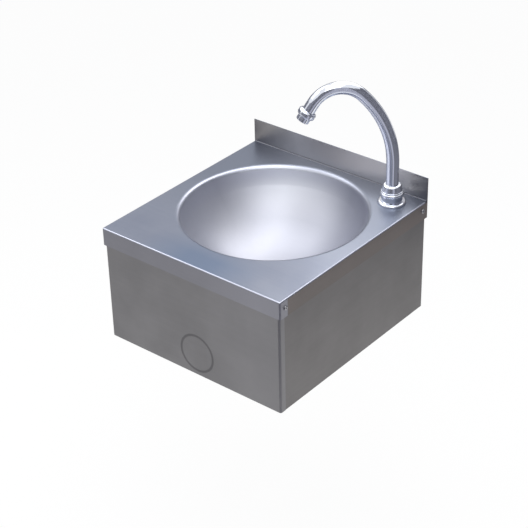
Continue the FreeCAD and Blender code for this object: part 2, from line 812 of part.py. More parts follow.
def make_valve_bracket():
    """Channel across the casing that carries the knee valve."""
    low_z = "place.valve_z - dims.bracket_height / 2"
    web = box("bracket_web", "2 * place.side_inner_x", "dims.bracket_sheet",
              "dims.bracket_height", ("-place.side_inner_x", "place.bracket_y", low_z))
    parts = [web]
    for name, z in (("top", "place.valve_z + dims.bracket_height / 2 - dims.bracket_sheet"),
                    ("bottom", low_z)):
        parts.append(box("bracket_" + name, "2 * place.side_inner_x", "dims.bracket_flange",
                         "dims.bracket_sheet", ("-place.side_inner_x", "place.bracket_y", z)))
    for name, x in (("left", "-place.side_inner_x"),
                    ("right", "place.side_inner_x - dims.bracket_sheet")):
        parts.append(box("bracket_" + name, "dims.bracket_sheet", "dims.bracket_tab",
                         "dims.bracket_height", (x, "place.bracket_y", low_z)))
    hole = cylinder("bracket_hole", "place.bonnet_bore", "3 * dims.bracket_sheet",
                    ("0", "place.bracket_y - dims.bracket_sheet", "place.valve_z"), "y")
    finish("valve_bracket", cut("valve_bracket_shape", fuse("bracket_folded", *parts), hole))


# ---------------------------------------------------------------- knee panel and screws


def make_knee_panel():
    """Front pan with side returns that lap the casing sides, and ears for the pivots.

    Slots at the ends of its bottom flange let the casing sides in when the panel swings.
    """
    body = new_body("knee_panel")
    front = value("place.panel_front")
    back = value("place.panel_back")
    bottom = value("place.casing_bottom")

    outline = sketch_on(body, "panel_outline", "XY_Plane", "place.casing_bottom")
    rectangle(outline, "-place.panel_face_x", "place.panel_front",
              "place.panel_face_x", "place.return_end")
    pad(body, "panel_blank", outline, "place.panel_top - place.casing_bottom")
    hollow = sketch_on(body, "panel_hollow", "XY_Plane", "place.casing_bottom + dims.casing_sheet")
    rectangle(hollow, "-place.panel_inner_x", "place.panel_back",
              "place.panel_inner_x", "place.return_end + dims.casing_sheet")
    opened = pocket(body, "panel_opened", hollow,
                    "place.panel_top - place.casing_bottom", True)
    inside = fillet(body, "panel_inner_corners", opened, "dims.panel_bend - dims.casing_sheet",
                    lambda edge: lies_at(edge, y=back) and edge.BoundBox.XLength < 1)
    outside = fillet(body, "panel_corners", inside, "dims.panel_bend",
                     lambda edge: lies_at(edge, y=front) and edge.BoundBox.XLength < 1)
    fillet(body, "panel_fold", outside, "dims.casing_bend",
           lambda edge: lies_at(edge, y=front, z=bottom))

    slots = sketch_on(body, "corner_slots", "XY_Plane", "place.casing_bottom")
    for side in (1, -1):
        low = span(side, "place.panel_inner_x - dims.corner_slot", "place.panel_inner_x")
        rectangle(slots, low, "place.panel_back + dims.casing_sheet",
                  low + " + dims.corner_slot", "place.return_end + dims.casing_sheet")
    pocket(body, "bottom_flange_slots", slots, "dims.casing_sheet", True)

    for side, name in ((1, "right"), (-1, "left")):
        ear = sketch_on(body, "ear_outline_" + name, "YZ_Plane",
                        span(side, "place.panel_inner_x", "place.panel_face_x"))
        rectangle(ear, "place.return_end - dims.casing_sheet",
                  "place.panel_top - dims.ear_height",
                  "place.panel_front + dims.ear_depth", "place.panel_top")
        pad(body, "ear_" + name, ear, "dims.casing_sheet")

    holes = sketch_on(body, "ear_holes", "YZ_Plane", "-place.half_width")
    circle(holes, "place.pivot_y", "place.pivot_z", "dims.bush_radius")
    pocket(body, "ear_bores", holes, "dims.deck_width", True)


def make_knee_pad():
    """Rubber pad on the panel's back that meets the valve's button."""
    disc = cylinder("pad_disc", "dims.pad_radius", "dims.pad_thickness",
                    ("0", "place.panel_back", "place.valve_z"), "y")
    face = value("place.pad_face")
    finish("knee_pad", rounded("knee_pad_shape", disc, value("dims.pad_edge"),
                               lambda edge: lies_at(edge, y=face)))


def make_pivot_bushes():
    """Flanged bushes in the panel's ears, turning on the pivot screws."""
    bushes = []
    for side, name in ((1, "right"), (-1, "left")):
        flange_end = "place.skirt_inner - dims.unlike_gap"
        barrel = cylinder("bush_barrel_" + name, "dims.bush_radius", "dims.casing_sheet",
                          (span(side, "place.panel_inner_x", "place.panel_face_x"),
                           "place.pivot_y", "place.pivot_z"), "x")
        flange = cylinder("bush_flange_" + name, "dims.bush_flange_radius",
                          flange_end + " - place.panel_face_x",
                          (span(side, "place.panel_face_x", flange_end),
                           "place.pivot_y", "place.pivot_z"), "x")
        bore = cylinder("bush_bore_" + name, "dims.screw_radius + dims.running_clearance",
                        flange_end + " - place.panel_inner_x",
                        (span(side, "place.panel_inner_x", flange_end),
                         "place.pivot_y", "place.pivot_z"), "x")
        bushes.append(cut("bush_" + name, fuse("bush_blank_" + name, barrel, flange), bore))
    finish("pivot_bushes", group("pivot_bushes_shape", *bushes))


def screw(name, side, y, z):
    """Round-head socket screw through the skirt, into a nut behind the casing side."""
    head_end = "place.half_width + dims.screw_head_height"
    shank_end = "place.side_inner_x - dims.nut_height - dims.screw_tail"
    head = cylinder(name + "_head", "dims.screw_head_radius", "dims.screw_head_height",
                    (span(side, "place.half_width", head_end), y, z), "x")
    face = side * (value("place.half_width") + value("dims.screw_head_height"))
    dome = rounded(name + "_dome", head, value("dims.screw_head_edge"),
                   lambda edge: lies_at(edge, x=face))
    shank = cylinder(name + "_shank", "dims.screw_radius", "place.half_width - (%s)" % shank_end,
                     (span(side, shank_end, "place.half_width"), y, z), "x")
    socket = hexagon(name + "_socket", "dims.socket_flats", "dims.socket_depth",
                     (span(side, head_end + " - dims.socket_depth", head_end), y, z), "x")
    return cut(name, fuse(name + "_blank", dome, shank), socket)


def nut(name, side, y, z):
    body = hexagon(name + "_hexagon", "dims.nut_flats", "dims.nut_height",
                   (span(side, "place.side_inner_x - dims.nut_height", "place.side_inner_x"),
                    y, z), "x")
    bore = cylinder(name + "_bore", "place.screw_hole", "dims.nut_height",
                    (span(side, "place.side_inner_x - dims.nut_height", "place.side_inner_x"),
                     y, z), "x")
    return cut(name, body, bore)


def make_side_fasteners():
    """The pivot screws at the front and the fixing screws at the rear, with their nuts."""
    spots = {"pivot": ("place.pivot_y", "place.pivot_z"),
             "rear": ("place.rear_screw_y", "place.rear_screw_z")}
    for role, (y, z) in spots.items():
        screws = [screw("%s_screw_%s" % (role, name), side, y, z)
                  for side, name in ((1, "right"), (-1, "left"))]
        nuts = [nut("%s_nut_%s" % (role, name), side, y, z)
                for side, name in ((1, "right"), (-1, "left"))]
        finish(role + "_screws", group(role + "_screws_shape", *screws))
        finish(role + "_nuts", group(role + "_nuts_shape", *nuts))
    y, z = spots["rear"]
    spacers = [ring("rear_spacer_" + name, "dims.spacer_radius", "place.screw_hole",
                    "place.skirt_inner - place.side_face_x",
                    (span(side, "place.side_face_x", "place.skirt_inner"), y, z), "x")
               for side, name in ((1, "right"), (-1, "left"))]
    finish("rear_spacers", group("rear_spacers_shape", *spacers))


# ---------------------------------------------------------------- knee valve


def on_valve(y):
    """A point on the valve's axis."""
    return ("0", y, "place.valve_z")


def make_valve_button():
    """Domed button, its stem, the rubber disc and the piston that carries it."""
    barrel = cylinder("button_barrel", "dims.button_radius", "dims.button_length",
                      on_valve("place.button_tip"), "y")
    dome = sphere("button_dome", "dims.button_dome",
                  on_valve("place.button_tip + dims.button_dome"))
    socket = cylinder("button_socket", "dims.stem_radius", "dims.stem_in_button",
                      on_valve("place.button_end - dims.stem_in_button"), "y")
    finish("valve_button",
           cut("valve_button_shape", common("button_domed", barrel, dome), socket))

    stem = cylinder("stem_rod", "dims.stem_radius",
                    "place.disc_back - place.button_end + dims.stem_in_button",
                    on_valve("place.button_end - dims.stem_in_button"), "y")
    piston = cylinder("stem_piston", "dims.disc_radius", "dims.piston_thickness",
                      on_valve("place.disc_back"), "y")
    finish("valve_stem", fuse("valve_stem_shape", stem, piston))
    finish("valve_disc", ring("valve_disc_shape", "dims.disc_radius", "dims.stem_radius",
                              "dims.disc_thickness", on_valve("place.seat_back"), "y"))


def make_valve_bonnet():
    """Threaded sleeve that guides the stem and clamps the valve in its bracket."""
    blank = cylinder("bonnet_blank", "dims.bonnet_radius",
                     "place.bonnet_end - place.bonnet_front",
                     on_valve("place.bonnet_front"), "y")
    guide = cylinder("bonnet_guide_bore", "place.stem_bore", "dims.bonnet_guide",
                     on_valve("place.bonnet_front"), "y")
    chamber = cylinder("bonnet_chamber_bore", "dims.bonnet_chamber",
                       "place.bonnet_end - place.bonnet_front - dims.bonnet_guide",
                       on_valve("place.bonnet_front + dims.bonnet_guide"), "y")
    seal_major = "place.stem_bore + dims.stem_seal_wire"
    groove = ring("stem_seal_groove", seal_major + " + dims.stem_seal_wire",
                  "place.stem_bore / 2", "2 * dims.stem_seal_wire",
                  on_valve("place.stem_seal_y - dims.stem_seal_wire"), "y")
    finish("valve_bonnet", cut("valve_bonnet_shape", blank, guide, chamber, groove))
    finish("stem_seal", torus("stem_seal_shape", seal_major, "dims.stem_seal_wire",
                              on_valve("place.stem_seal_y"), "y"))

    locknut = hexagon("locknut_hexagon", "dims.locknut_flats", "dims.locknut_height",
                      on_valve("place.bracket_y - dims.locknut_height"), "y")
    bore = cylinder("locknut_bore", "place.bonnet_bore", "dims.locknut_height",
                    on_valve("place.bracket_y - dims.locknut_height"), "y")
    finish("valve_locknut", cut("valve_locknut_shape", locknut, bore))


def make_valve_body():
    """Valve casting: outlet to the right, inlet below, seat between the two chambers."""
    barrel = cylinder("valve_barrel", "dims.valve_radius", "dims.valve_length",
                      on_valve("place.shoulder"), "y")
    outlet_boss = cylinder("outlet_boss", "dims.outlet_boss_radius", "dims.outlet_boss_end",
                           ("0", "place.outlet_y", "place.valve_z"), "x")
    outlet_thread = cylinder("outlet_thread", "dims.outlet_thread_radius", "place.outlet_end",
                             ("0", "place.outlet_y", "place.valve_z"), "x")
    inlet_boss = cylinder("inlet_boss", "dims.inlet_boss_radius", "dims.inlet_boss_drop",
                          ("0", "place.inlet_y", "place.boss_bottom"))
    blank = fuse("valve_blank", barrel, outlet_boss, outlet_thread, inlet_boss)

    bores = [
        cylinder("bonnet_thread", "place.bonnet_bore", "dims.bonnet_screwed_in",
                 on_valve("place.shoulder"), "y"),
        cylinder("outlet_chamber", "dims.chamber_radius",
                 "dims.seat_offset - dims.bonnet_screwed_in", on_valve("place.bonnet_end"), "y"),
        cylinder("seat_bore", "dims.seat_hole", "dims.seat_thickness",
                 on_valve("place.seat_front"), "y"),
        cylinder("inlet_chamber", "dims.chamber_radius", "place.cap_face - place.seat_back",
                 on_valve("place.seat_back"), "y"),
        cylinder("cap_thread_bore", "dims.cap_thread_radius + dims.thread_clearance",
                 "dims.cap_thread_length", on_valve("place.cap_face"), "y"),
        cylinder("outlet_way", "dims.outlet_bore", "place.outlet_end",
                 ("0", "place.outlet_y", "place.valve_z"), "x"),
        cylinder("inlet_way", "dims.inlet_bore", "dims.inlet_boss_drop",
                 ("0", "place.inlet_y", "place.boss_bottom")),
    ]
    finish("valve_body", cut("valve_body_shape", blank, *bores))


def make_valve_cap():
    """Hexagon plug that closes the valve's rear end and backs the spring."""
    head = hexagon("cap_head", "dims.cap_flats", "dims.cap_height",
                   on_valve("place.valve_end"), "y")
    thread = cylinder("cap_thread", "dims.cap_thread_radius", "dims.cap_thread_length",
                      on_valve("place.cap_face"), "y")
    finish("valve_end_cap", fuse("valve_end_cap_shape", head, thread))


def make_valve_spring():
    """Compression spring between the end cap and the piston."""
    length = "place.cap_face - place.piston_back - 2 * dims.spring_wire"
    coil = doc.addObject("Part::Helix", "spring_coil")
    bind(coil, Radius="dims.spring_radius", Height=length,
         Pitch="(%s) / dims.spring_turns" % length)
    wire = doc.addObject("Part::Circle", "spring_wire_section")
    bind(wire, Radius="dims.spring_wire")
    seat(wire, "dims.spring_radius", "0", "0", Rotation(Vector(1, 0, 0), 90))
    spring = doc.addObject("Part::Sweep", "spring_sweep")
    spring.Sections = [wire]
    spring.Spine = (coil, ["Edge1"])
    spring.Solid = True
    spring.Frenet = True
    placed = group("valve_spring_shape", spring)
    seat(placed, "0", "place.piston_back + dims.spring_wire", "place.valve_z", LIE["y"])
    finish("valve_spring", placed)


def make_mixing_tee():
    """Tee below the valve where hot and cold water meet, with its union nut."""
    def across(name, radius, half):
        return cylinder(name, radius, "2 * (%s)" % half,
                        ("-(%s)" % half, "place.inlet_y", "place.tee_z"), "x")

    def upright(name, radius, low, high, x="0"):
        return cylinder(name, radius, "(%s) - (%s)" % (high, low), (x, "place.inlet_y", low))

    threads = []
    bores = []
    cartridges = []
    filters = []
    fit_radius = "dims.tee_bore - dims.thread_clearance"
    filter_top = "place.inlet_bottom + dims.filter_thickness"
    for side, name in ((1, "right"), (-1, "left")):
        x = "%d * dims.inlet_spread" % side
        at = (x, "place.inlet_y", filter_top)
        threads.append(upright("inlet_thread_" + name, "dims.inlet_thread_radius",
                               "place.inlet_bottom", "place.inlet_thread_top", x))
        threads.append(upright("inlet_neck_" + name, "dims.inlet_neck_radius",
                               "place.inlet_thread_top", "place.tee_z", x))
        bores.append(upright("inlet_way_" + name, "dims.tee_bore",
                             "place.inlet_bottom", "place.tee_z", x))
        cartridges.append(ring("check_valve_" + name, fit_radius, "dims.check_valve_bore",
                               "dims.check_valve_length", at))
        filters.append(ring("inlet_filter_" + name, fit_radius, "dims.check_valve_bore",
                            "dims.filter_thickness",
                            (x, "place.inlet_y", "place.inlet_bottom")))

    blank = fuse("tee_blank", across("tee_bar", "dims.tee_radius", "place.tee_end"),
                 upright("tee_stub", "dims.stub_radius", "place.tee_z", "place.boss_bottom"),
                 upright("tee_collar", "dims.stub_collar", "place.collar_bottom",
                         "place.boss_bottom"), *threads)
    finish("mixing_tee",
           cut("mixing_tee_shape", blank,
               across("tee_way", "dims.tee_bore", "place.tee_end - dims.tee_end_wall"),
               upright("stub_way", "dims.stub_bore", "place.tee_z", "place.boss_bottom"),
               *bores))
    finish("check_valves", group("check_valves_shape", *cartridges))
    finish("inlet_filters", group("inlet_filters_shape", *filters))

    bare = hexagon("union_hexagon", "dims.union_flats", "dims.union_height",
                   ("0", "place.inlet_y", "place.union_bottom"))
    lip = upright("union_lip_bore", "dims.stub_radius + dims.thread_clearance",
                  "place.union_bottom", "place.collar_bottom")
    thread = upright("union_thread_bore", "dims.inlet_boss_radius + dims.thread_clearance",
                     "place.collar_bottom", "place.union_bottom + dims.union_height")
    finish("tee_union_nut", cut("tee_union_nut_shape", bare, lip, thread))


# ---------------------------------------------------------------- hose to the spout


def hose_line(name, radius):
    """The hose's route: out of the valve, back along the side, up into the spout's shank."""
    bend = "dims.hose_bend"
    turn_x = "place.spout_x - " + bend
    turn_y = "place.outlet_y + " + bend
    rise_y = "place.spout_y - " + bend
    rise_z = "place.valve_z + " + bend
    out = cylinder(name + "_out", radius, "%s - place.outlet_hose_start" % turn_x,
                   ("place.outlet_hose_start", "place.outlet_y", "place.valve_z"), "x")
    level = torus(name + "_level", bend, radius, (turn_x, turn_y, "place.valve_z"))
    level.Placement.Rotation = Rotation(Vector(0, 0, 1), -90)
    level.Angle3 = 90
    back = cylinder(name + "_back", radius, "(%s) - (%s)" % (rise_y, turn_y),
                    ("place.spout_x", turn_y, "place.valve_z"), "y")
    lift = torus(name + "_lift", bend, radius, ("place.spout_x", rise_y, rise_z), "x")
    lift.Angle3 = 90
    up = cylinder(name + "_up", radius, "place.shank_hose_end - (%s)" % rise_z,
                  ("place.spout_x", "place.spout_y", rise_z))
    return fuse(name, out, level, back, lift, up)


def make_hose():
    """Braided hose with a crimped tail, washer and union nut at each end."""
    finish("water_hose", cut("water_hose_shape", hose_line("hose_outside", "dims.hose_radius"),
                             hose_line("hose_inside", "dims.hose_bore")))

    # each end: axis, the seat's place along it, +1 or -1 away from the seat, and its thread
    def from_outlet(start, length):
        return (start, "place.outlet_y", "place.valve_z"), length

    def from_shank(start, length):
        return ("place.spout_x", "place.spout_y", "%s - (%s)" % (start, length)), length

    ends = [
        ("outlet", "x", "place.outlet_end", "+", from_outlet,
         "dims.outlet_thread_radius", "dims.outlet_nut_flats"),
        ("shank", "z", "place.shank_bottom", "-", from_shank,
         "dims.inlet_thread_radius", "dims.shank_nut_flats"),
    ]
    washers = []
    tails = []
    nuts = []
    for name, axis, face, sign, along, thread, flats in ends:
        def piece(make, label, size, start, length):
            at, _ = along("%s %s (%s)" % (face, sign, start), length)
            return make(name + label, size, length, at, axis)

        flange_start = "dims.hose_washer"
        sleeve_start = "dims.hose_washer + dims.tail_flange"
        nut_start = "-dims.hose_nut_cover"
        nut_length = "dims.hose_nut_cover + %s + dims.hose_nut_lip" % sleeve_start
        tail_length = "dims.tail_flange + dims.sleeve_length"
        flange_radius = thread + " - dims.tail_flange_play"

        washers.append(cut(name + "_washer",
                           piece(cylinder, "_washer_disc", flange_radius, "0",
                                 "dims.hose_washer"),
                           piece(cylinder, "_washer_bore", "dims.hose_bore", "0",
                                 "dims.hose_washer")))
        blank = fuse(name + "_tail_blank",
                     piece(cylinder, "_tail_flange", flange_radius, flange_start,
                           "dims.tail_flange"),
                     piece(cylinder, "_tail_sleeve", "dims.sleeve_radius", flange_start,
                           tail_length))
        tails.append(cut(name + "_tail", blank,
                         piece(cylinder, "_tail_bore", "dims.hose_bore", flange_start,
                               tail_length),
                         piece(cylinder, "_tail_grip", "dims.hose_radius",
                               flange_start + " + %s - dims.sleeve_grip" % tail_length,
                               "dims.sleeve_grip")))
        nuts.append(cut(name + "_hose_nut",
                        piece(hexagon, "_nut_hexagon", flats, nut_start, nut_length),
                        piece(cylinder, "_nut_thread", thread + " + dims.thread_clearance",
                              nut_start, nut_length + " - dims.hose_nut_lip"),
                        piece(cylinder, "_nut_lip", "dims.sleeve_radius + dims.thread_clearance",
                              nut_start, nut_length)))
    finish("hose_washers", group("hose_washers_shape", *washers))
    finish("hose_tails", group("hose_tails_shape", *tails))
    finish("hose_nuts", group("hose_nuts_shape", *nuts))


# ---------------------------------------------------------------- spout foot


def on_foot(height):
    """A point on the spout's axis at a height above the deck."""
    return ("place.spout_x", "place.spout_y", "dims.deck_level + %s" % height)


def at_radius(radius):
    """Test for the circular edges of one radius."""
    return lambda edge: circle_of(edge, radius)


def make_spout_foot():
    """Rosette, foot with its bead and threaded shank, and what clamps them to the deck."""
    rosette = cylinder("rosette_disc", "dims.rosette_radius", "dims.rosette_rise", on_foot("0"))
    top = value("dims.deck_level") + value("dims.rosette_rise")
    lipped = rounded("rosette_lipped", rosette, value("dims.rosette_edge"),
                     lambda edge: lies_at(edge, z=top))
    shank_hole = "dims.inlet_thread_radius + dims.thread_clearance"
    gasket_radius = "dims.rosette_radius - dims.rosette_edge"
    finish("spout_rosette",
           cut("spout_rosette_shape", lipped,
               cylinder("rosette_bore", shank_hole, "dims.rosette_rise", on_foot("0")),
               cylinder("rosette_recess", gasket_radius, "dims.foot_gasket", on_foot("0"))))
    finish("foot_gasket", ring("foot_gasket_shape", gasket_radius, shank_hole,
                               "dims.foot_gasket", on_foot("0")))

    bead_disc = cylinder("bead_disc", "dims.bead_radius", "dims.bead_top - dims.foot_top",
                         on_foot("dims.foot_top"))
    bead = rounded("bead_rounded", bead_disc, value("dims.bead_edge"),
                   at_radius(value("dims.bead_radius")))
    blank = fuse("foot_blank",
                 cylinder("foot_shank", "dims.inlet_thread_radius",
                          "dims.shank_drop + dims.rosette_rise", on_foot("-dims.shank_drop")),
                 cylinder("foot_drum", "dims.foot_radius", "dims.foot_top - dims.rosette_rise",
                          on_foot("dims.rosette_rise")),
                 bead,
                 cylinder("foot_neck", "dims.neck_radius", "dims.neck_top - dims.bead_top",
                          on_foot("dims.bead_top")))
    ring_major = "place.socket_radius + dims.o_ring_wire"
    grooves = []
    rings = []
    for name in ("low", "high"):
        height = "dims.o_ring_" + name
        grooves.append(ring("o_groove_" + name, ring_major + " + dims.o_ring_wire",
                            "place.socket_radius / 2", "2 * dims.o_ring_wire",
                            on_foot(height + " - dims.o_ring_wire")))
        rings.append(torus("o_ring_" + name, ring_major, "dims.o_ring_wire", on_foot(height)))
    finish("spout_foot",
           cut("spout_foot_shape", blank,
               cylinder("foot_waterway", "dims.waterway_radius",
                        "dims.shank_drop + dims.socket_floor", on_foot("-dims.shank_drop")),
               cylinder("foot_socket", "place.socket_radius",
                        "dims.neck_top - dims.socket_floor", on_foot("dims.socket_floor")),
               *grooves))
    finish("spout_o_rings", group("spout_o_rings_shape", *rings))

    under = "dims.deck_sheet"
    stack = [("under_gasket", "dims.under_gasket"), ("under_washer", "dims.under_washer")]
    for label, thickness in stack:
        under = under + " + " + thickness
        finish(label, ring(label + "_shape", "dims.washer_radius", shank_hole, thickness,
                           on_foot("-(%s)" % under)))
    under = under + " + dims.backnut_height"
    backnut = hexagon("backnut_hexagon", "dims.backnut_flats", "dims.backnut_height",
                      on_foot("-(%s)" % under))
    finish("spout_backnut",
           cut("spout_backnut_shape", backnut,
               cylinder("backnut_bore", shank_hole, "dims.backnut_height",
                        on_foot("-(%s)" % under))))


def make_cap_nut():
    """Domed nut that holds the spout's slip ring down on the foot."""
    skirt = cylinder("capnut_skirt", "dims.capnut_radius",
                     "dims.capnut_slope_start - dims.bead_top", on_foot("dims.bead_top"))
    slope = cone("capnut_slope", "dims.capnut_radius", "dims.capnut_crown_radius",
                 "dims.capnut_top - dims.capnut_slope_start", on_foot("dims.capnut_slope_start"))
    top = value("dims.deck_level") + value("dims.capnut_top")
    dome = rounded("capnut_domed", fuse("capnut_blank", skirt, slope), value("dims.capnut_dome"),
                   lambda edge: lies_at(edge, z=top))
    lip_blank = cylinder("capnut_lip_blank", "dims.capnut_lip_radius", "dims.capnut_lip_height",
                         on_foot("dims.bead_top"))
    lip = rounded("capnut_lip", lip_blank, value("dims.capnut_lip_round"),
                  at_radius(value("dims.capnut_lip_radius")))
    finish("spout_cap_nut",
           cut("spout_cap_nut_shape", fuse("capnut_solid", dome, lip),
               cylinder("capnut_thread", "dims.neck_radius + dims.thread_clearance",
                        "dims.capnut_shoulder - dims.bead_top", on_foot("dims.bead_top")),
               cylinder("capnut_mouth", "dims.spout_radius + dims.unlike_gap",
                        "dims.capnut_top - dims.bead_top", on_foot("dims.bead_top"))))


# ---------------------------------------------------------------- swivelling spout


def head_spout(obj):
    """Turn a piece made in the spout's own plane to its heading, and stand it on the deck."""
    obj.Placement = FreeCAD.Placement(Vector(), Rotation(Vector(0, 0, 1), 1))
    obj.setExpression("Placement.Rotation.Angle", "dims.spout_heading")
    obj.setExpression("Placement.Base.x", "place.spout_x")
    obj.setExpression("Placement.Base.y", "place.spout_y")
    obj.setExpression("Placement.Base.z", "dims.deck_level")
    return obj


def make_spout_tube():
    """Swan-neck tube: a straight riser, a wide sweep, a tighter crook and a straight end."""
    body = new_body("spout_tube")
    path = sketch_on(body, "spout_path", "XZ_Plane", "0")
    normal = Vector(0, 0, 1)
    sweep_centre = Vector(value("dims.sweep_radius"), value("dims.riser_top"), 0)
    crook_centre = Vector(value("place.crook_centre_x"), value("place.crook_centre_z"), 0)
    sweep_turn = math.radians(value("dims.sweep_turn"))
    spout_turn = math.radians(value("place.spout_turn"))
    sweep = Part.Circle(sweep_centre, normal, value("dims.sweep_radius"))
    crook = Part.Circle(crook_centre, normal, value("dims.crook_radius"))
    path.addGeometry(Part.LineSegment(Vector(0, value("dims.spout_foot"), 0),
                                      Vector(0, value("dims.riser_top"), 0)))
    path.addGeometry(Part.ArcOfCircle(sweep, math.pi - sweep_turn, math.pi))
    path.addGeometry(Part.ArcOfCircle(crook, math.pi - spout_turn, math.pi - sweep_turn))
    path.addGeometry(Part.LineSegment(
        Vector(value("place.crook_end_x"), value("place.crook_end_z"), 0),
        Vector(value("place.mouth_x"), value("place.mouth_z"), 0)))
    path.addConstraint(Sketcher.Constraint("Coincident", 0, 2, 1, 2))
    path.addConstraint(Sketcher.Constraint("Coincident", 1, 1, 2, 2))
    path.addConstraint(Sketcher.Constraint("Coincident", 2, 1, 3, 1))
    stations = [
        (0, 1, "place.axis", "dims.spout_foot"),
        (0, 2, "place.axis", "dims.riser_top"),
        (1, 1, "place.sweep_end_x", "place.sweep_end_z"),
        (2, 1, "place.crook_end_x", "place.crook_end_z"),
        (3, 2, "place.mouth_x", "place.mouth_z"),
    ]
    for number, end, x, z in stations:
        fix_point(path, number, end, x, z, (value(x), value(z)))
    for number, radius in ((1, "dims.sweep_radius"), (2, "dims.crook_radius")):
        size = path.addConstraint(Sketcher.Constraint("Radius", number, value(radius)))
        path.setExpression("Constraints[%d]" % size, radius)

    section = sketch_on(body, "spout_section", "XY_Plane", "dims.spout_foot")
    circle(section, "0", "0", "dims.spout_radius")
    circle(section, "0", "0", "dims.spout_radius - dims.spout_wall")
    doc.recompute()
    tube = body.newObject("PartDesign::AdditivePipe", "spout_pipe")
    tube.Profile = section
    tube.Spine = (path, ["Edge1", "Edge2", "Edge3", "Edge4"])
    doc.recompute()
    head_spout(body)
    doc.recompute()

    outer = value("dims.spout_radius")
    inner = outer - value("dims.spout_wall")
    expected = math.pi * (outer ** 2 - inner ** 2) * path.Shape.Length
    if abs(body.Shape.Volume / expected - 1) > 0.001:
        raise RuntimeError("the spout's tube isn't its section times its length")

    finish("slip_ring", ring("slip_ring_shape", "dims.slip_ring_radius", "dims.spout_radius",
                             "dims.slip_ring_height",
                             on_foot("dims.neck_top + dims.unlike_gap")))


def mouth_part(name, shape):
    """Place a piece, made along Z from the tube's mouth downstream, on the spout's end.

    Its first placement tips Z to the mouth's direction in the spout's plane, and the next
    one turns that plane to the spout's heading.
    """
    tipped = group(name + "_tipped", shape)
    tipped.Placement = FreeCAD.Placement(Vector(), Rotation(Vector(0, 1, 0), 1))
    tipped.setExpression("Placement.Rotation.Angle", "place.spout_turn")
    tipped.setExpression("Placement.Base.x", "place.mouth_x")
    tipped.setExpression("Placement.Base.z", "place.mouth_z")
    return head_spout(group(name + "_shape", tipped))


def make_aerator():
    """Collar on the spout's mouth, with the screwed aerator, its insert and its washer."""
    axis = ("0", "0")
    start = "-dims.collar_overlap"
    end = "dims.collar_length - dims.collar_overlap"
    bead = cylinder("collar_blank", "dims.collar_radius", "dims.collar_length", axis + (start,))
    round_bead = rounded("collar_rounded", bead, value("dims.collar_edge"),
                         at_radius(value("dims.collar_radius")))
    thread = "dims.aerator_radius + dims.thread_clearance"
    pocket_start = "dims.collar_length - dims.collar_overlap - dims.aerator_screwed_in"
    collar = cut("collar_bored", round_bead,
                 cylinder("collar_tube_seat", "dims.spout_radius", "dims.collar_overlap",
                          axis + (start,)),
                 cylinder("collar_way", "dims.spout_radius - dims.spout_wall",
                          "dims.collar_length", axis + (start,)),
                 cylinder("collar_thread", thread,
                          "dims.aerator_screwed_in + dims.aerator_washer",
                          axis + (pocket_start + " - dims.aerator_washer",)))
    finish("aerator_collar", mouth_part("aerator_collar", collar))

    washer = ring("washer_ring", "dims.aerator_radius", "dims.spout_radius - dims.spout_wall",
                  "dims.aerator_washer", axis + (pocket_start + " - dims.aerator_washer",))
    finish("aerator_washer", mouth_part("aerator_washer", washer))

    length = "dims.aerator_screwed_in + dims.aerator_reach"
    shell_blank = cylinder("aerator_blank", "dims.aerator_radius", length,
                           axis + (pocket_start,))
    mouth = value("dims.collar_length") - value("dims.collar_overlap") + value("dims.aerator_reach")
    shell = rounded("aerator_rounded", shell_blank, value("dims.aerator_edge"),
                    lambda edge: lies_at(edge, z=mouth))
    inner = "dims.aerator_radius - dims.aerator_wall"
    housing = cut("aerator_bored", shell,
                  cylinder("aerator_bore", inner, length, axis + (pocket_start,)))
    finish("aerator_housing", mouth_part("aerator_housing", housing))

    insert_length = length + " - dims.insert_inset"
    insert = cylinder("insert_plug", inner, insert_length, axis + (pocket_start,))
    cells = [cylinder("insert_cell_0", "dims.insert_cell", insert_length,
                      axis + (pocket_start,))]
    for ring_number in range(1, INSERT_RINGS + 1):
        count = CELLS_PER_RING * ring_number
        for i in range(count):
            angle = 360.0 * i / count
            reach = "%d * dims.insert_pitch" % ring_number
            cells.append(cylinder("insert_cell_%d_%d" % (ring_number, i), "dims.insert_cell",
                                  insert_length,
                                  ("%s * cos(%g)" % (reach, angle),
                                   "%s * sin(%g)" % (reach, angle), pocket_start)))
    finish("aerator_insert",
           mouth_part("aerator_insert", cut("insert_drilled", insert, *cells)))


# ---------------------------------------------------------------- waste


def on_waste(z):
    return ("0", "place.bowl_y", z)


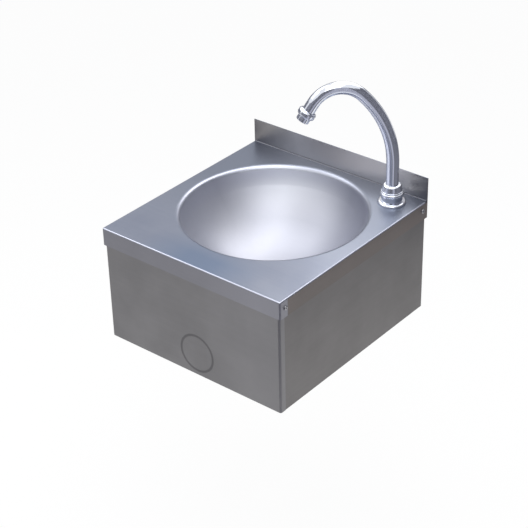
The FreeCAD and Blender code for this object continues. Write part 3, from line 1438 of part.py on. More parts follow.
def make_waste():
    """Grated waste: strainer, gaskets, body with its bridge, and the centre screw."""
    flange = cylinder("strainer_flange", "dims.strainer_radius", "dims.strainer_sheet",
                      on_waste("place.floor_z + dims.waste_gasket"))
    top = value("place.floor_z") + value("dims.waste_gasket") + value("dims.strainer_sheet")
    edge = rounded("strainer_edge", flange, value("dims.strainer_round"),
                   lambda line: lies_at(line, z=top))
    cup_top = "place.floor_z + dims.waste_gasket + dims.strainer_sheet"
    cup_low = cup_top + " - dims.cup_depth"
    cup = cylinder("strainer_cup", "dims.cup_radius", "dims.cup_depth", on_waste(cup_low))
    hollow = cylinder("strainer_hollow", "dims.cup_radius - dims.cup_wall",
                      "dims.cup_depth - dims.cup_wall", on_waste(cup_low + " + dims.cup_wall"))
    holes = [cylinder("strainer_centre_hole", "dims.waste_screw_radius + dims.thread_clearance",
                      "dims.cup_wall", on_waste(cup_low))]
    for i in range(STRAINER_HOLES):
        angle = 360.0 * i / STRAINER_HOLES
        holes.append(cylinder("strainer_hole_%d" % i, "dims.strainer_hole", "dims.cup_wall",
                              ("dims.strainer_ring * cos(%g)" % angle,
                               "place.bowl_y + dims.strainer_ring * sin(%g)" % angle,
                               cup_low)))
    finish("waste_strainer",
           cut("waste_strainer_shape", fuse("strainer_pressed", edge, cup), hollow, *holes))

    finish("waste_upper_gasket",
           ring("waste_upper_gasket_shape", "dims.waste_gasket_radius", "dims.waste_hole_radius",
                "dims.waste_gasket", on_waste("place.floor_z")))
    gasket_low = "place.floor_under - dims.lower_gasket"
    finish("waste_lower_gasket",
           ring("waste_lower_gasket_shape", "dims.waste_rim_radius", "dims.waste_hole_radius",
                "dims.lower_gasket", on_waste(gasket_low)))

    def drop(distance):
        return "place.floor_z - " + distance

    cup_height = "dims.waste_cup_drop - dims.lower_gasket - dims.deck_sheet"
    rim = cylinder("waste_rim", "dims.waste_rim_radius", "dims.waste_rim_height",
                   on_waste(gasket_low + " - dims.waste_rim_height"))
    barrel = cylinder("waste_barrel", "dims.waste_cup_radius", cup_height,
                      on_waste(drop("dims.waste_cup_drop")))
    funnel = cone("waste_funnel", "dims.waste_thread_radius", "dims.waste_cup_radius",
                  "dims.waste_cone_drop - dims.waste_cup_drop",
                  on_waste(drop("dims.waste_cone_drop")))
    tail = cylinder("waste_tail", "dims.waste_thread_radius",
                    "dims.waste_tail_drop - dims.waste_cone_drop",
                    on_waste(drop("dims.waste_tail_drop")))
    cup_bore = cylinder("waste_cup_bore", "dims.waste_cup_bore", cup_height,
                        on_waste(drop("dims.waste_cup_drop")))
    tail_bore = cylinder("waste_tail_bore", "dims.waste_bore",
                         "dims.waste_tail_drop - dims.waste_cup_drop",
                         on_waste(drop("dims.waste_tail_drop")))
    hollow_body = cut("waste_hollow", fuse("waste_outside", rim, barrel, funnel, tail),
                      cup_bore, tail_bore)
    bridge = box("waste_bridge", "2 * dims.waste_cup_radius - 2 * dims.cup_wall",
                 "2 * dims.bridge_size", "dims.bridge_size",
                 ("-dims.waste_cup_radius + dims.cup_wall",
                  "place.bowl_y - dims.bridge_size",
                  drop("dims.bridge_drop") + " - dims.bridge_size / 2"))
    screw_hole = cylinder("waste_screw_hole", "dims.waste_screw_radius + dims.thread_clearance",
                          "2 * dims.bridge_size",
                          on_waste(drop("dims.bridge_drop") + " - dims.bridge_size"))
    finish("waste_body", cut("waste_body_shape",
                             fuse("waste_bridged", hollow_body, bridge), screw_hole))

    screw_low = drop("dims.bridge_drop") + " - dims.bridge_size"
    shank = cylinder("waste_screw_shank", "dims.waste_screw_radius",
                     "(%s + dims.cup_wall) - (%s)" % (cup_low, screw_low), on_waste(screw_low))
    head = cylinder("waste_screw_head", "dims.waste_screw_head", "dims.waste_screw_head_height",
                    on_waste(cup_low + " + dims.cup_wall"))
    finish("waste_screw", fuse("waste_screw_shape", shank, head))


# ---------------------------------------------------------------- build and export


def check_document():
    """Stop if any object failed or any sub-part is not a sound solid."""
    doc.recompute()
    for obj in doc.Objects:
        if "Invalid" in obj.State or "Error" in obj.State:
            raise RuntimeError("%s failed: %s" % (obj.Name, obj.State))
    for label, obj in FINISHED.items():
        shape = obj.Shape
        if shape.isNull() or not shape.isValid() or not shape.Solids:
            raise RuntimeError(label + " has no valid solid")


def main():
    make_deck_shell()
    make_bowl()
    make_side_panel(-1, "side_panel_left")
    make_side_panel(1, "side_panel_right")
    make_rear_rail()
    make_valve_bracket()
    make_knee_panel()
    make_knee_pad()
    make_pivot_bushes()
    make_side_fasteners()
    make_valve_button()
    make_valve_bonnet()
    make_valve_body()
    make_valve_cap()
    make_valve_spring()
    make_mixing_tee()
    make_hose()
    make_spout_foot()
    make_cap_nut()
    make_spout_tube()
    make_aerator()
    make_waste()
    check_document()
    for label, obj in FINISHED.items():
        shape = obj.Shape
        shape.exportStep("parts/%s.step" % label)
        print("%-20s %2d solid(s) %12.1f mm3" % (label, len(shape.Solids), shape.Volume))
    print(len(FINISHED), "sub-parts")


main()
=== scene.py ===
"""Looks for the knee-operated stainless steel hand wash sink."""
import json
import math

import bpy
from mathutils import Matrix, Vector


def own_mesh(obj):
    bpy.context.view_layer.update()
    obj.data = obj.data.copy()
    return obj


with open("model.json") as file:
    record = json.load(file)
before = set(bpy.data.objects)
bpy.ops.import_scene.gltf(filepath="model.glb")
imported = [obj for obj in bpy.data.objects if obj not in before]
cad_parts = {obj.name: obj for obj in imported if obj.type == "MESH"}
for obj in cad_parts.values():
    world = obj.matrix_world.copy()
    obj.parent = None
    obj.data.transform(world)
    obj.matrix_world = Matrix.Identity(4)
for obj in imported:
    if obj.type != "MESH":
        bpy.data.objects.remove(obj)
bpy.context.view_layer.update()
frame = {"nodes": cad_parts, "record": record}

scene = bpy.context.scene
scene.view_settings.view_transform = "Standard"
nodes = frame["nodes"]


def linear(r, g, b):
    """Linear colour from 8-bit display values."""
    def one(v):
        v = v / 255.0
        return v / 12.92 if v <= 0.04045 else ((v + 0.055) / 1.055) ** 2.4
    return (one(r), one(g), one(b), 1.0)


# Tones of the sheets, each a metal's tint; several carry painted light and shade, marked below.
# Deck top: brushing tones, painted lighter and bluer than the upright faces as a lit face.
DECK_LIGHT = linear(147, 152, 166)
DECK_DARK = linear(133, 139, 156)
# Painted shade: the deck top darker towards the wall.
DECK_REAR_SHADE = linear(129, 135, 150)
# Painted shade: a darker, bluer patch on the deck in front of the bowl.
DECK_COOL_SHADE = linear(119, 132, 155)
# Painted highlight: the lighter tone laid on the deck's outer folds and the bowl's rolled rim.
PAINTED_HIGHLIGHT = linear(196, 199, 213)
# Painted shade: the darker tone in the crease between deck and upstand.
CREASE_SHADE = linear(110, 111, 118)
# Painted reflection on the upstand: dark at its left end, turning light towards its right.
UPSTAND_LEFT_SHADE = linear(93, 92, 98)
UPSTAND_RIGHT_HIGHLIGHT = linear(206, 203, 201)
SKIRT_LIGHT = linear(136, 136, 143)
SKIRT_DARK = linear(124, 124, 131)
# Painted highlight: the front skirt lighter towards its right end.
SKIRT_RIGHT_HIGHLIGHT = linear(156, 156, 164)
# Painted shade: the side skirts darker and browner than the front skirt, with the brushing's
# tone between these two.
SIDE_SKIRT_LIGHT = linear(128, 121, 119)
SIDE_SKIRT_DARK = linear(113, 108, 106)
# Painted highlight: the side skirts lighter towards the rear.
SIDE_SKIRT_REAR_HIGHLIGHT = linear(138, 130, 127)
BOWL_LIGHT = linear(184, 186, 195)
BOWL_DARK = linear(171, 173, 184)
# Painted shade: the bowl's right wall darker.
BOWL_RIGHT_SHADE = linear(158, 160, 172)
# Painted highlight: the bowl's rear-left upper wall much lighter.
BOWL_REAR_HIGHLIGHT = linear(232, 235, 243)
PANEL_LIGHT = linear(137, 136, 138)
PANEL_DARK = linear(120, 119, 121)
# Painted highlight: the knee panel lighter towards its right.
PANEL_RIGHT_HIGHLIGHT = linear(156, 155, 158)
ETCHED = linear(92, 91, 93)
SIDE_LIGHT = linear(136, 134, 134)
SIDE_DARK = linear(119, 117, 117)

# Where a tone or a mask fades in, from and to. Places and heights are in metres.
TOP_SLOPE = (0.25, 0.6)
SIDE_SLOPE = (0.75, 0.95)
FACING_SLOPE = (0.5, 0.8)
UPSTAND_FOOT = (0.1262, 0.1275)
CORNER_TAB = (-0.4045, -0.4035)
# The upstand's painted reflection: where it turns light, where it fades near the right end, and
# the noise that moves that place.
UPSTAND_HIGHLIGHT_RISE = (-0.15, -0.02)
UPSTAND_HIGHLIGHT_END = (0.25, 0.19, 0.3, 1.0)
UPSTAND_DRIFT = 0.12
# Where the deck's painted darker, bluer patch lies: across and front to back.
COOL_X = 0.01
COOL_WIDTH = (0.13, 0.03)
COOL_DEPTH = (-0.34, -0.39)
# Where the deck's painted shade towards the wall fades in.
REAR_FADE = (-0.31, -0.15)
# Where the front skirt's painted highlight to the right fades in.
FRONT_RIGHT = (0.03, 0.15, 0.0, 0.6)
# Where the side skirts' painted highlight to the rear fades in.
SIDE_REAR = (-0.2, -0.03, 0.0, 0.7)
# Where the painted highlight on the outer folds lies, by slope and place.
FOLD_START = (0.12, 0.35)
FOLD_END = (0.985, 0.93)
FOLD_PLACE = (-0.006, -0.009)
# Where the painted shade in the crease lies, by slope and place.
CREASE_START = (0.05, 0.2)
CREASE_END = (0.995, 0.95)
CREASE_PLACE = (-0.009, -0.006)
# The rim's painted highlight: its height, the slope where it starts, and its share.
RIM_HEIGHT = (0.1165, 0.1235)
RIM_SLOPE = (1.0, 0.86)
RIM_HIGHLIGHT = 0.5
# Where the bowl's painted shade on the right wall fades in.
BOWL_RIGHT_FADE = (-0.06, 0.12)
# Where the bowl's painted highlight on the rear-left upper wall lies.
BOWL_REAR_DEPTH = (-0.16, -0.06)
BOWL_REAR_LEFT = (0.06, -0.08)
BOWL_REAR_HEIGHT = (0.04, 0.085)
# Where the knee panel's painted highlight to the right fades in.
PANEL_RIGHT_FADE = (0.03, 0.13, 0.0, 0.4)
PANEL_FACE = (-0.4215, -0.4220)

# The plain ring on the knee panel: centre, radius, half the line's width and its soft edge.
RING_X = 0.01
RING_Z = -0.055
RING_RADIUS = 0.036
RING_LINE = 0.0022
RING_EDGE = 0.0006
RING_DEPTH = 0.38
RING_ROUGHNESS = 0.15

# Brushing: noise scales along and across the lines, and how much it changes the finish.
FINE_GRAIN = (6, 900)
COARSE_GRAIN = (3, 160)
COARSE_SHARE = 0.8
TONE_SPAN = (0.30, 0.70)
LINE_ROUGHNESS = 0.10
CLOUD_ROUGHNESS = 0.04
SHEET_BUMP = (0.12, 0.00006)
SHEET_ROUGHNESS = 0.37
DECK_ROUGHNESS = 0.31
BOWL_ROUGHNESS = (0.48, 0.33)
BOWL_CLOUDS = 0.05
BOWL_BUMP = (0.08, 0.00005)

# The other pieces: where their noise turns from one tone or roughness to the other.
SMEARS = (0.35, 0.75)
METAL_SPOTS = (0.35, 0.65)
SOFT_SPOTS = (0.35, 0.7)
DULL_SPOTS = (0.3, 0.7)
METAL_BUMP = (0.1, 0.00005)
SOFT_BUMP = (0.15, 0.00008)
BRAID_BUMP = (0.5, 0.0004)
BRAID_SLANTS = (0.6, -0.6)
BRAID_SCALE = 260.0

# The studio: the light's tint and strength, and the floor under the object's middle.
WORLD_LIGHT = (0.97, 0.98, 1, 1)
WORLD_STRENGTH = 0.8
WHITE = (1, 1, 1, 1)
FLOOR_WHITE = 0.9
FLOOR_SIZE = 40
FLOOR_PLACE = (0, -0.2, -0.55)
FLOOR_PAINT = ((0.86, 0.86, 0.86, 1), (0.90, 0.90, 0.90, 1))
FLOOR_ROUGHNESS = 0.9
OBJECT_Y = -0.2


# ---------------------------------------------------------------- camera

def make_camera():
    data = bpy.data.cameras.new("photo_camera")
    data.sensor_width = 36
    data.lens = 104.556
    data.clip_start = 0.05
    data.clip_end = 60
    camera = bpy.data.objects.new("photo_camera", data)
    scene.collection.objects.link(camera)
    right = Vector((0.775454, 0.631077, -0.020302))
    up = Vector((-0.316641, 0.416497, 0.852214))
    back = Vector((0.546269, -0.654424, 0.522799))
    turn = Matrix((right, up, back)).transposed()
    camera.matrix_world = Matrix.Translation((1.51034, -2.03168, 1.47179)) @ turn.to_4x4()
    scene.camera = camera


# ---------------------------------------------------------------- materials

class Nodes:
    """A material, with short calls for building its node tree."""

    def __init__(self, name):
        self.material = bpy.data.materials.new(name)
        self.material.use_nodes = True
        self.tree = self.material.node_tree
        self.shader = self.tree.nodes["Principled BSDF"]

    def feed(self, socket, value):
        """Link the value where it is a node's output, or set it as a constant."""
        if hasattr(value, "is_output"):
            self.tree.links.new(value, socket)
        else:
            socket.default_value = value

    def add(self, kind, inputs=None, **settings):
        node = self.tree.nodes.new(kind)
        for key, value in settings.items():
            setattr(node, key, value)
        for key, value in (inputs or {}).items():
            self.feed(node.inputs[key], value)
        return node

    def math(self, operation, a, b=0.0):
        return self.add("ShaderNodeMath", {0: a, 1: b}, operation=operation).outputs[0]

    def product(self, *factors):
        result = factors[0]
        for factor in factors[1:]:
            result = self.math("MULTIPLY", result, factor)
        return result

    def mix(self, factor, a, b):
        node = self.add("ShaderNodeMix", {"Factor": factor, "A": a, "B": b}, data_type="RGBA")
        return [out for out in node.outputs if out.type == "RGBA"][0]

    def xyz(self, kind, output):
        """The three numbers of a vector that an input node gives."""
        vector = self.add(kind).outputs[output]
        return self.add("ShaderNodeSeparateXYZ", {"Vector": vector}).outputs

    def place(self):
        return self.xyz("ShaderNodeTexCoord", "Object")

    def normal(self):
        return self.xyz("ShaderNodeNewGeometry", "Normal")

    def mapped(self, scale=(1, 1, 1), turn=(0, 0, 0)):
        where = self.add("ShaderNodeTexCoord").outputs["Object"]
        return self.add("ShaderNodeMapping", {"Vector": where, "Scale": scale,
                                              "Rotation": turn}).outputs[0]

    def noise(self, scale, detail=4.0, rough=0.5, stretch=(1, 1, 1)):
        return self.add("ShaderNodeTexNoise", {
            "Vector": self.mapped(stretch), "Scale": scale, "Detail": detail,
            "Roughness": rough}).outputs["Fac"]

    def ramp(self, factor, low, high, lo_value=0.0, hi_value=1.0):
        return self.add("ShaderNodeMapRange", {"Value": factor, 1: low, 2: high, 3: lo_value,
                                               4: hi_value}).outputs[0]

    def bump(self, height, strength, distance):
        node = self.add("ShaderNodeBump", {"Height": height, "Strength": strength,
                                           "Distance": distance})
        self.set("Normal", node.outputs[0])

    def set(self, name, value):
        self.feed(self.shader.inputs[name], value)


def stretched(axis, along, across):
    return tuple(along if name == axis else across for name in "xyz")


def brushed_tone(n, axis, grain, cloud, cloud_scale=9.0):
    """Fine lines along one axis with soft clouds over them: tone 0 to 1, lines and clouds."""
    lines = n.noise(1.0, detail=3.0, rough=0.6, stretch=stretched(axis, *FINE_GRAIN))
    bands = n.noise(1.0, detail=2.0, rough=0.5, stretch=stretched(axis, *COARSE_GRAIN))
    clouds = n.noise(cloud_scale, detail=3.0, rough=0.55)
    tone = n.math("ADD", n.math("MULTIPLY", lines, grain),
                  n.math("MULTIPLY", bands, grain * COARSE_SHARE))
    tone = n.math("ADD", tone, n.math("MULTIPLY", clouds, cloud))
    span = grain * (1 + COARSE_SHARE) + cloud
    return n.ramp(tone, *(span * share for share in TONE_SPAN)), lines, clouds


def brushed_roughness(n, least, lines, clouds):
    rough = n.math("ADD", n.math("MULTIPLY", lines, LINE_ROUGHNESS), least)
    return n.math("ADD", rough, n.math("MULTIPLY", clouds, CLOUD_ROUGHNESS))


def brushed_sheet(n, colour, roughness, lines):
    """Finish a sheet's material: all metal, with a fine bump from the brushing."""
    n.set("Base Color", colour)
    n.set("Metallic", 1.0)
    n.set("Roughness", roughness)
    n.bump(lines, *SHEET_BUMP)
    return n.material


def side_steel():
    """Brushed sheet of the casing: fine lines and a soft cloudy sheen."""
    n = Nodes("side_steel")
    tone, lines, clouds = brushed_tone(n, "y", grain=0.10, cloud=0.5)
    return brushed_sheet(n, n.mix(tone, SIDE_DARK, SIDE_LIGHT),
                         brushed_roughness(n, SHEET_ROUGHNESS, lines, clouds), lines)


def deck_tone(n, tone, x, y):
    """The deck's satin tone, with painted shade: darker towards the wall, and darker and cooler
    in front of the bowl.
    """
    front = n.mix(tone, DECK_DARK, DECK_LIGHT)
    # Painted shade: a darker, bluer patch in front of the bowl.
    off_centre = n.math("ABSOLUTE", n.math("ADD", x, -COOL_X))
    cool_shade_on = n.product(n.ramp(off_centre, *COOL_WIDTH), n.ramp(y, *COOL_DEPTH))
    front = n.mix(cool_shade_on, front, DECK_COOL_SHADE)
    # Painted shade: darker towards the wall.
    return n.mix(n.ramp(y, *REAR_FADE), front, DECK_REAR_SHADE)


def skirt_tone(n, tone, clouds, place, normal):
    """The deck's upright faces: the front skirt with a painted highlight to the right, the side
    skirts painted darker as shade with a painted highlight to the rear, and the upstand with a
    painted reflection from dark at the left to light at the right.
    """
    x, y, z = place
    side_on = n.product(n.ramp(n.math("ABSOLUTE", normal["X"]), *SIDE_SLOPE),
                        n.ramp(y, *CORNER_TAB))
    upstand_on = n.product(n.ramp(n.math("MULTIPLY", normal["Y"], -1.0), *FACING_SLOPE),
                           n.ramp(z, *UPSTAND_FOOT))
    front = n.mix(tone, SKIRT_DARK, SKIRT_LIGHT)
    # Painted highlight: the front skirt lighter towards the right end.
    front = n.mix(n.ramp(x, *FRONT_RIGHT), front, SKIRT_RIGHT_HIGHLIGHT)
    # Painted shade: the side skirts darker and browner than the front.
    side = n.mix(tone, SIDE_SKIRT_DARK, SIDE_SKIRT_LIGHT)
    # Painted highlight: the side skirts lighter towards the rear.
    side = n.mix(n.ramp(y, *SIDE_REAR), side, SIDE_SKIRT_REAR_HIGHLIGHT)
    # Painted reflection on the upstand: dark at the left, light towards the right, fading at the
    # far end.
    drift = n.math("ADD", x, n.math("MULTIPLY", clouds, UPSTAND_DRIFT))
    upstand_highlight = n.product(n.ramp(drift, *UPSTAND_HIGHLIGHT_RISE), n.ramp(drift, *UPSTAND_HIGHLIGHT_END))
    upstand = n.mix(upstand_highlight, UPSTAND_LEFT_SHADE, UPSTAND_RIGHT_HIGHLIGHT)
    return n.mix(upstand_on, n.mix(side_on, front, side), upstand)


def deck_steel():
    """The deck's sheet: satin top painted lighter and bluer than its plainer upright skirts, a
    painted highlight along the outer folds, and painted shade in the inner crease.
    """
    n = Nodes("deck_steel")
    tone, lines, clouds = brushed_tone(n, "x", grain=0.10, cloud=0.4)
    place = n.place()
    normal = n.normal()
    x, y, z = place
    slope = normal["Z"]
    # The top is painted lighter and bluer than the upright faces, as a lit face beside shaded
    # ones.
    plain = n.mix(n.ramp(slope, *TOP_SLOPE), skirt_tone(n, tone, clouds, place, normal),
                  deck_tone(n, tone, x, y))
    # Painted shade in the crease between deck and upstand.
    crease_shade_on = n.product(n.ramp(slope, *CREASE_START), n.ramp(slope, *CREASE_END),
                          n.ramp(y, *CREASE_PLACE))
    # Painted highlight along the outer folds.
    fold_highlight_on = n.product(n.ramp(slope, *FOLD_START), n.ramp(slope, *FOLD_END),
                        n.ramp(y, *FOLD_PLACE))
    colour = n.mix(fold_highlight_on, n.mix(crease_shade_on, plain, CREASE_SHADE), PAINTED_HIGHLIGHT)
    return brushed_sheet(n, colour, brushed_roughness(n, DECK_ROUGHNESS, lines, clouds), lines)


def bowl_steel():
    """Pressed bowl: smooth satin inside, its right wall painted darker as shade and its
    rear-left upper wall painted much lighter as a highlight, with the deck's tone over its
    rolled rim and a painted highlight where the rim turns down.
    """
    n = Nodes("bowl_steel")
    tone, lines, clouds = brushed_tone(n, "x", grain=0.05, cloud=0.3, cloud_scale=5.0)
    x, y, z = n.place()
    slope = n.normal()["Z"]
    inside = n.mix(tone, BOWL_DARK, BOWL_LIGHT)
    # Painted shade: the right wall darker.
    inside = n.mix(n.ramp(x, *BOWL_RIGHT_FADE), inside, BOWL_RIGHT_SHADE)
    # Painted highlight: the rear-left upper wall much lighter.
    rear_highlight_on = n.product(n.ramp(y, *BOWL_REAR_DEPTH), n.ramp(x, *BOWL_REAR_LEFT),
                        n.ramp(z, *BOWL_REAR_HEIGHT))
    inside = n.mix(rear_highlight_on, inside, BOWL_REAR_HIGHLIGHT)
    # Painted highlight on the rolled rim where it turns down.
    rim_highlight = n.math("MULTIPLY", n.ramp(slope, *RIM_SLOPE), RIM_HIGHLIGHT)
    rim = n.mix(rim_highlight, deck_tone(n, tone, x, y), PAINTED_HIGHLIGHT)
    rim_on = n.ramp(z, *RIM_HEIGHT)
    n.set("Base Color", n.mix(rim_on, inside, rim))
    n.set("Metallic", 1.0)
    n.set("Roughness", n.math("ADD", n.ramp(rim_on, 0.0, 1.0, *BOWL_ROUGHNESS),
                              n.math("MULTIPLY", clouds, BOWL_CLOUDS)))
    n.bump(lines, *BOWL_BUMP)
    return n.material


def panel_steel():
    """The knee panel's sheet, with a plain ring etched where a knee pushes."""
    n = Nodes("front_steel")
    tone, lines, clouds = brushed_tone(n, "x", grain=0.10, cloud=0.5)
    x, y, z = n.place()
    across = n.math("ADD", x, -RING_X)
    along = n.math("ADD", z, -RING_Z)
    reach = n.math("SQRT", n.math("ADD", n.math("MULTIPLY", across, across),
                                  n.math("MULTIPLY", along, along)))
    off_line = n.math("ABSOLUTE", n.math("ADD", reach, -RING_RADIUS))
    etched = n.product(n.ramp(off_line, RING_LINE + RING_EDGE, RING_LINE - RING_EDGE),
                       n.ramp(y, *PANEL_FACE))
    plain = n.mix(tone, PANEL_DARK, PANEL_LIGHT)
    # Painted highlight: lighter towards the right.
    plain = n.mix(n.ramp(x, *PANEL_RIGHT_FADE), plain, PANEL_RIGHT_HIGHLIGHT)
    colour = n.mix(n.math("MULTIPLY", etched, RING_DEPTH), plain, ETCHED)
    rough = n.math("ADD", brushed_roughness(n, SHEET_ROUGHNESS, lines, clouds),
                   n.math("MULTIPLY", etched, RING_ROUGHNESS))
    return brushed_sheet(n, colour, rough, lines)


def chrome(name, colour, roughness):
    """Bright plating whose gloss varies with soft smears."""
    n = Nodes(name)
    smears = n.noise(14.0, detail=4.0, rough=0.6)
    n.set("Base Color", colour)
    n.set("Metallic", 1.0)
    n.set("Roughness", n.ramp(smears, *SMEARS, roughness * 0.7, roughness * 1.5))
    return n.material


def plain_metal(name, colour, dark, roughness):
    """Plated or bare metal with fine spots in its tone, its roughness and its surface."""
    n = Nodes(name)
    spots = n.noise(60.0, detail=5.0, rough=0.6)
    n.set("Base Color", n.mix(n.ramp(spots, *METAL_SPOTS), dark, colour))
    n.set("Metallic", 1.0)
    n.set("Roughness", n.ramp(spots, *DULL_SPOTS, roughness * 0.85, roughness * 1.15))
    n.bump(n.noise(400.0, detail=2.0), *METAL_BUMP)
    return n.material


def soft(name, colour, light, roughness):
    """Rubber or plastic with a fine mottle."""
    n = Nodes(name)
    spots = n.noise(90.0, detail=4.0, rough=0.6)
    n.set("Base Color", n.mix(n.ramp(spots, *SOFT_SPOTS), colour, light))
    n.set("Roughness", n.ramp(spots, *DULL_SPOTS, roughness * 0.9, roughness * 1.1))
    n.bump(n.noise(700.0, detail=2.0), *SOFT_BUMP)
    return n.material


def braid(name):
    """Two sets of slanting waves that cross, as a hose's steel braid."""
    n = Nodes(name)
    waves = [n.add("ShaderNodeTexWave", {
        "Vector": n.mapped(turn=(slant, slant, slant)), "Scale": BRAID_SCALE,
        "Distortion": 0.4}).outputs["Fac"] for slant in BRAID_SLANTS]
    weave = n.math("MAXIMUM", *waves)
    n.set("Base Color", n.mix(weave, (0.12, 0.12, 0.13, 1), (0.42, 0.43, 0.45, 1)))
    n.set("Metallic", 0.9)
    n.set("Roughness", 0.38)
    n.bump(weave, *BRAID_BUMP)
    return n.material


def make_materials():
    nickel = plain_metal("nickel", linear(196, 194, 188), linear(178, 176, 170), 0.22)
    by_slot = {
        "brushed_sheet": side_steel(),
        "bowl_steel": bowl_steel(),
        "strainer_steel": nickel,
        "nickel_plate": nickel,
        "chrome": chrome("bright_chrome", linear(228, 232, 242), 0.08),
        "zinc_steel": plain_metal("zinc_steel", linear(172, 174, 178), linear(146, 148, 152),
                                  0.45),
        "screw_steel": plain_metal("screw_steel", linear(178, 178, 182), linear(150, 150, 154),
                                   0.28),
        "brass": plain_metal("brass", linear(206, 176, 112), linear(178, 146, 84), 0.33),
        "black_rubber": soft("black_rubber", (0.012, 0.012, 0.013, 1), (0.03, 0.03, 0.03, 1),
                             0.75),
        "black_plastic": soft("black_plastic", (0.015, 0.015, 0.016, 1),
                              (0.03, 0.03, 0.032, 1), 0.5),
        "white_plastic": soft("white_plastic", linear(222, 222, 216), linear(206, 205, 198),
                              0.4),
        "steel_braid": braid("steel_braid"),
    }
    by_node = {"deck_shell": deck_steel(), "knee_panel": panel_steel()}
    slots = {entry["node"]: entry["material_slot"] for entry in frame["record"]["subparts"]}
    for name, obj in nodes.items():
        obj.data.materials.clear()
        obj.data.materials.append(by_node.get(name, by_slot[slots[name]]))


# ---------------------------------------------------------------- floor, cards and light

def make_world():
    """White to the camera and in reflections, a little dimmer as a light."""
    world = bpy.data.worlds.new("studio")
    scene.world = world
    world.use_nodes = True
    tree = world.node_tree
    tree.nodes.clear()

    def background(colour, strength):
        node = tree.nodes.new("ShaderNodeBackground")
        node.inputs["Color"].default_value = colour
        node.inputs["Strength"].default_value = strength
        return node.outputs[0]

    path = tree.nodes.new("ShaderNodeLightPath")
    seen = path.outputs["Is Camera Ray"]
    for ray in ("Is Transmission Ray", "Is Glossy Ray"):
        either = tree.nodes.new("ShaderNodeMath")
        either.operation = "MAXIMUM"
        tree.links.new(seen, either.inputs[0])
        tree.links.new(path.outputs[ray], either.inputs[1])
        seen = either.outputs[0]
    mix = tree.nodes.new("ShaderNodeMixShader")
    tree.links.new(seen, mix.inputs[0])
    tree.links.new(background(WORLD_LIGHT, WORLD_STRENGTH), mix.inputs[1])
    tree.links.new(background(WHITE, 1.0), mix.inputs[2])
    out = tree.nodes.new("ShaderNodeOutputWorld")
    tree.links.new(mix.outputs[0], out.inputs["Surface"])


def make_floor():
    """Plain white floor; to the camera and in reflections it is mostly white by itself."""
    bpy.ops.mesh.primitive_plane_add(size=FLOOR_SIZE, location=FLOOR_PLACE)
    floor = bpy.context.object
    floor.name = "studio_floor"
    n = Nodes("floor_paint")
    n.set("Base Color", n.mix(n.noise(3.0, detail=3.0), *FLOOR_PAINT))
    n.set("Roughness", FLOOR_ROUGHNESS)
    glow = n.add("ShaderNodeEmission", {"Color": WHITE, "Strength": 1.0})
    path = n.add("ShaderNodeLightPath")
    seen = n.math("MAXIMUM", path.outputs["Is Camera Ray"], path.outputs["Is Glossy Ray"])
    seen = n.math("MAXIMUM", seen, path.outputs["Is Transmission Ray"])
    part = n.math("MULTIPLY", seen, FLOOR_WHITE)
    mixed = n.add("ShaderNodeMixShader", {0: part, 1: n.shader.outputs[0], 2: glow.outputs[0]})
    n.feed(n.tree.nodes["Material Output"].inputs["Surface"], mixed.outputs[0])
    floor.data.materials.append(n.material)


FLAGS = [
    # name, inner edge, outer edge (each a radius and a height), bearings from and to, grey
    ("horizon_flag", (2.6, -0.3), (2.6, 0.95), 85, 285, 0.22),
    ("front_flag", (2.6, -0.5), (2.6, 1.75), -75, -44, 0.16),
    ("front_gap", (2.6, -0.5), (2.6, 1.75), -44, -22, 0.40),
    ("corner_flag", (2.6, -0.5), (2.6, 1.75), -22, 0, 0.16),
    ("side_flag", (2.6, -0.5), (2.6, 2.2), 0, 75, 0.18),
    ("dark_flag", (1.15, -0.5), (2.6, -0.5), -110, -98, 0.16),
    ("floor_flag", (0.8, -0.5), (2.6, -0.5), -98, -44, 0.20),
    ("floor_gap", (0.8, -0.5), (2.6, -0.5), -44, -22, 0.40),
    ("near_flag", (0.8, -0.5), (2.6, -0.5), -22, 0, 0.15),
    ("far_flag", (1.25, -0.5), (2.6, -0.5), 0, 200, 0.17),
]
FLAG_STEPS = 48


def strip_mesh(name, inner, outer, first, last):
    """A strip of quads round the object, between two bearings."""
    corners = []
    for i in range(FLAG_STEPS + 1):
        turn = math.radians(first + (last - first) * i / FLAG_STEPS)
        for radius, z in (inner, outer):
            corners.append((radius * math.cos(turn), OBJECT_Y + radius * math.sin(turn), z))
    faces = [(2 * i, 2 * i + 2, 2 * i + 3, 2 * i + 1) for i in range(FLAG_STEPS)]
    mesh = bpy.data.meshes.new(name)
    mesh.from_pydata(corners, [], faces)
    return mesh


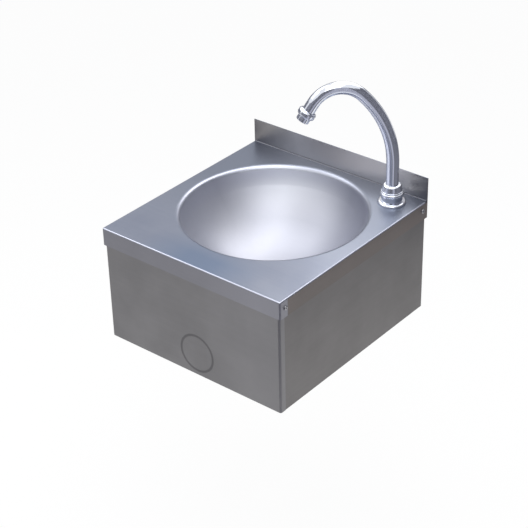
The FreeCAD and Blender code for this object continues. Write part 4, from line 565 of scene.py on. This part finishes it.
def make_flags():
    """Grey studio cards that only reflections see, for the streaks on the chrome."""
    for name, inner, outer, first, last, grey in FLAGS:
        n = Nodes(name + "_cloth")
        light = grey * 1.15
        n.set("Base Color", n.mix(n.noise(20.0), (grey, grey, grey * 1.15, 1),
                                  (light, light, grey * 1.3, 1)))
        n.set("Roughness", 0.95)
        flag = bpy.data.objects.new(name, strip_mesh(name, inner, outer, first, last))
        scene.collection.objects.link(flag)
        flag.data.materials.append(n.material)
        flag.visible_camera = False
        flag.visible_diffuse = False
        flag.visible_shadow = False


LAMPS = [
    # name, place, aimed at, width, height, watts, colour
    ("top_softbox", (0.33, -0.62, 2.05), None, 1.4, 2.1, 18, (1.0, 1.0, 1.0)),
    ("deck_card", (-0.03, 0.22, 0.68), (0.16, -0.3, 0.12), 0.4, 0.6, 1.6, (1.0, 0.97, 0.92)),
    ("left_strip", (-1.15, -0.2, 1.5), (0, -0.25, 0.12), 0.7, 0.8, 4.2, (1.0, 1.0, 1.0)),
    ("right_strip", (0.15, 1.15, 1.45), (0, -0.25, 0.12), 0.8, 0.7, 2.7, (1.0, 1.0, 1.0)),
    ("front_card", (1.1, -1.55, 1.9), (0, -0.2, 0.1), 1.3, 0.8, 5.0, (1.0, 1.0, 1.0)),
    ("left_card", (-1.35, -1.3, 1.6), (0, -0.2, 0.1), 1.3, 0.9, 4.2, (1.0, 1.0, 1.0)),
]
SOFTBOX_TURN = (-12, 0, 40)


def make_lights():
    """Area lamps. The softbox has its own turn, and the others face their targets."""
    for name, where, target, width, height, power, colour in LAMPS:
        data = bpy.data.lights.new(name, "AREA")
        data.shape = "RECTANGLE"
        data.size = width
        data.size_y = height
        data.energy = power
        data.color = colour
        lamp = bpy.data.objects.new(name, data)
        scene.collection.objects.link(lamp)
        lamp.location = where
        if target:
            aim = Vector(target) - Vector(where)
            lamp.rotation_euler = aim.to_track_quat("-Z", "Y").to_euler()
        else:
            lamp.rotation_euler = [math.radians(angle) for angle in SOFTBOX_TURN]
        lamp.visible_camera = False


def squash_spring():
    """The valve's spring gets a mesh of its own."""
    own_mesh(nodes["valve_spring"])


make_camera()
make_materials()
squash_spring()
make_world()
make_floor()
make_flags()
make_lights()
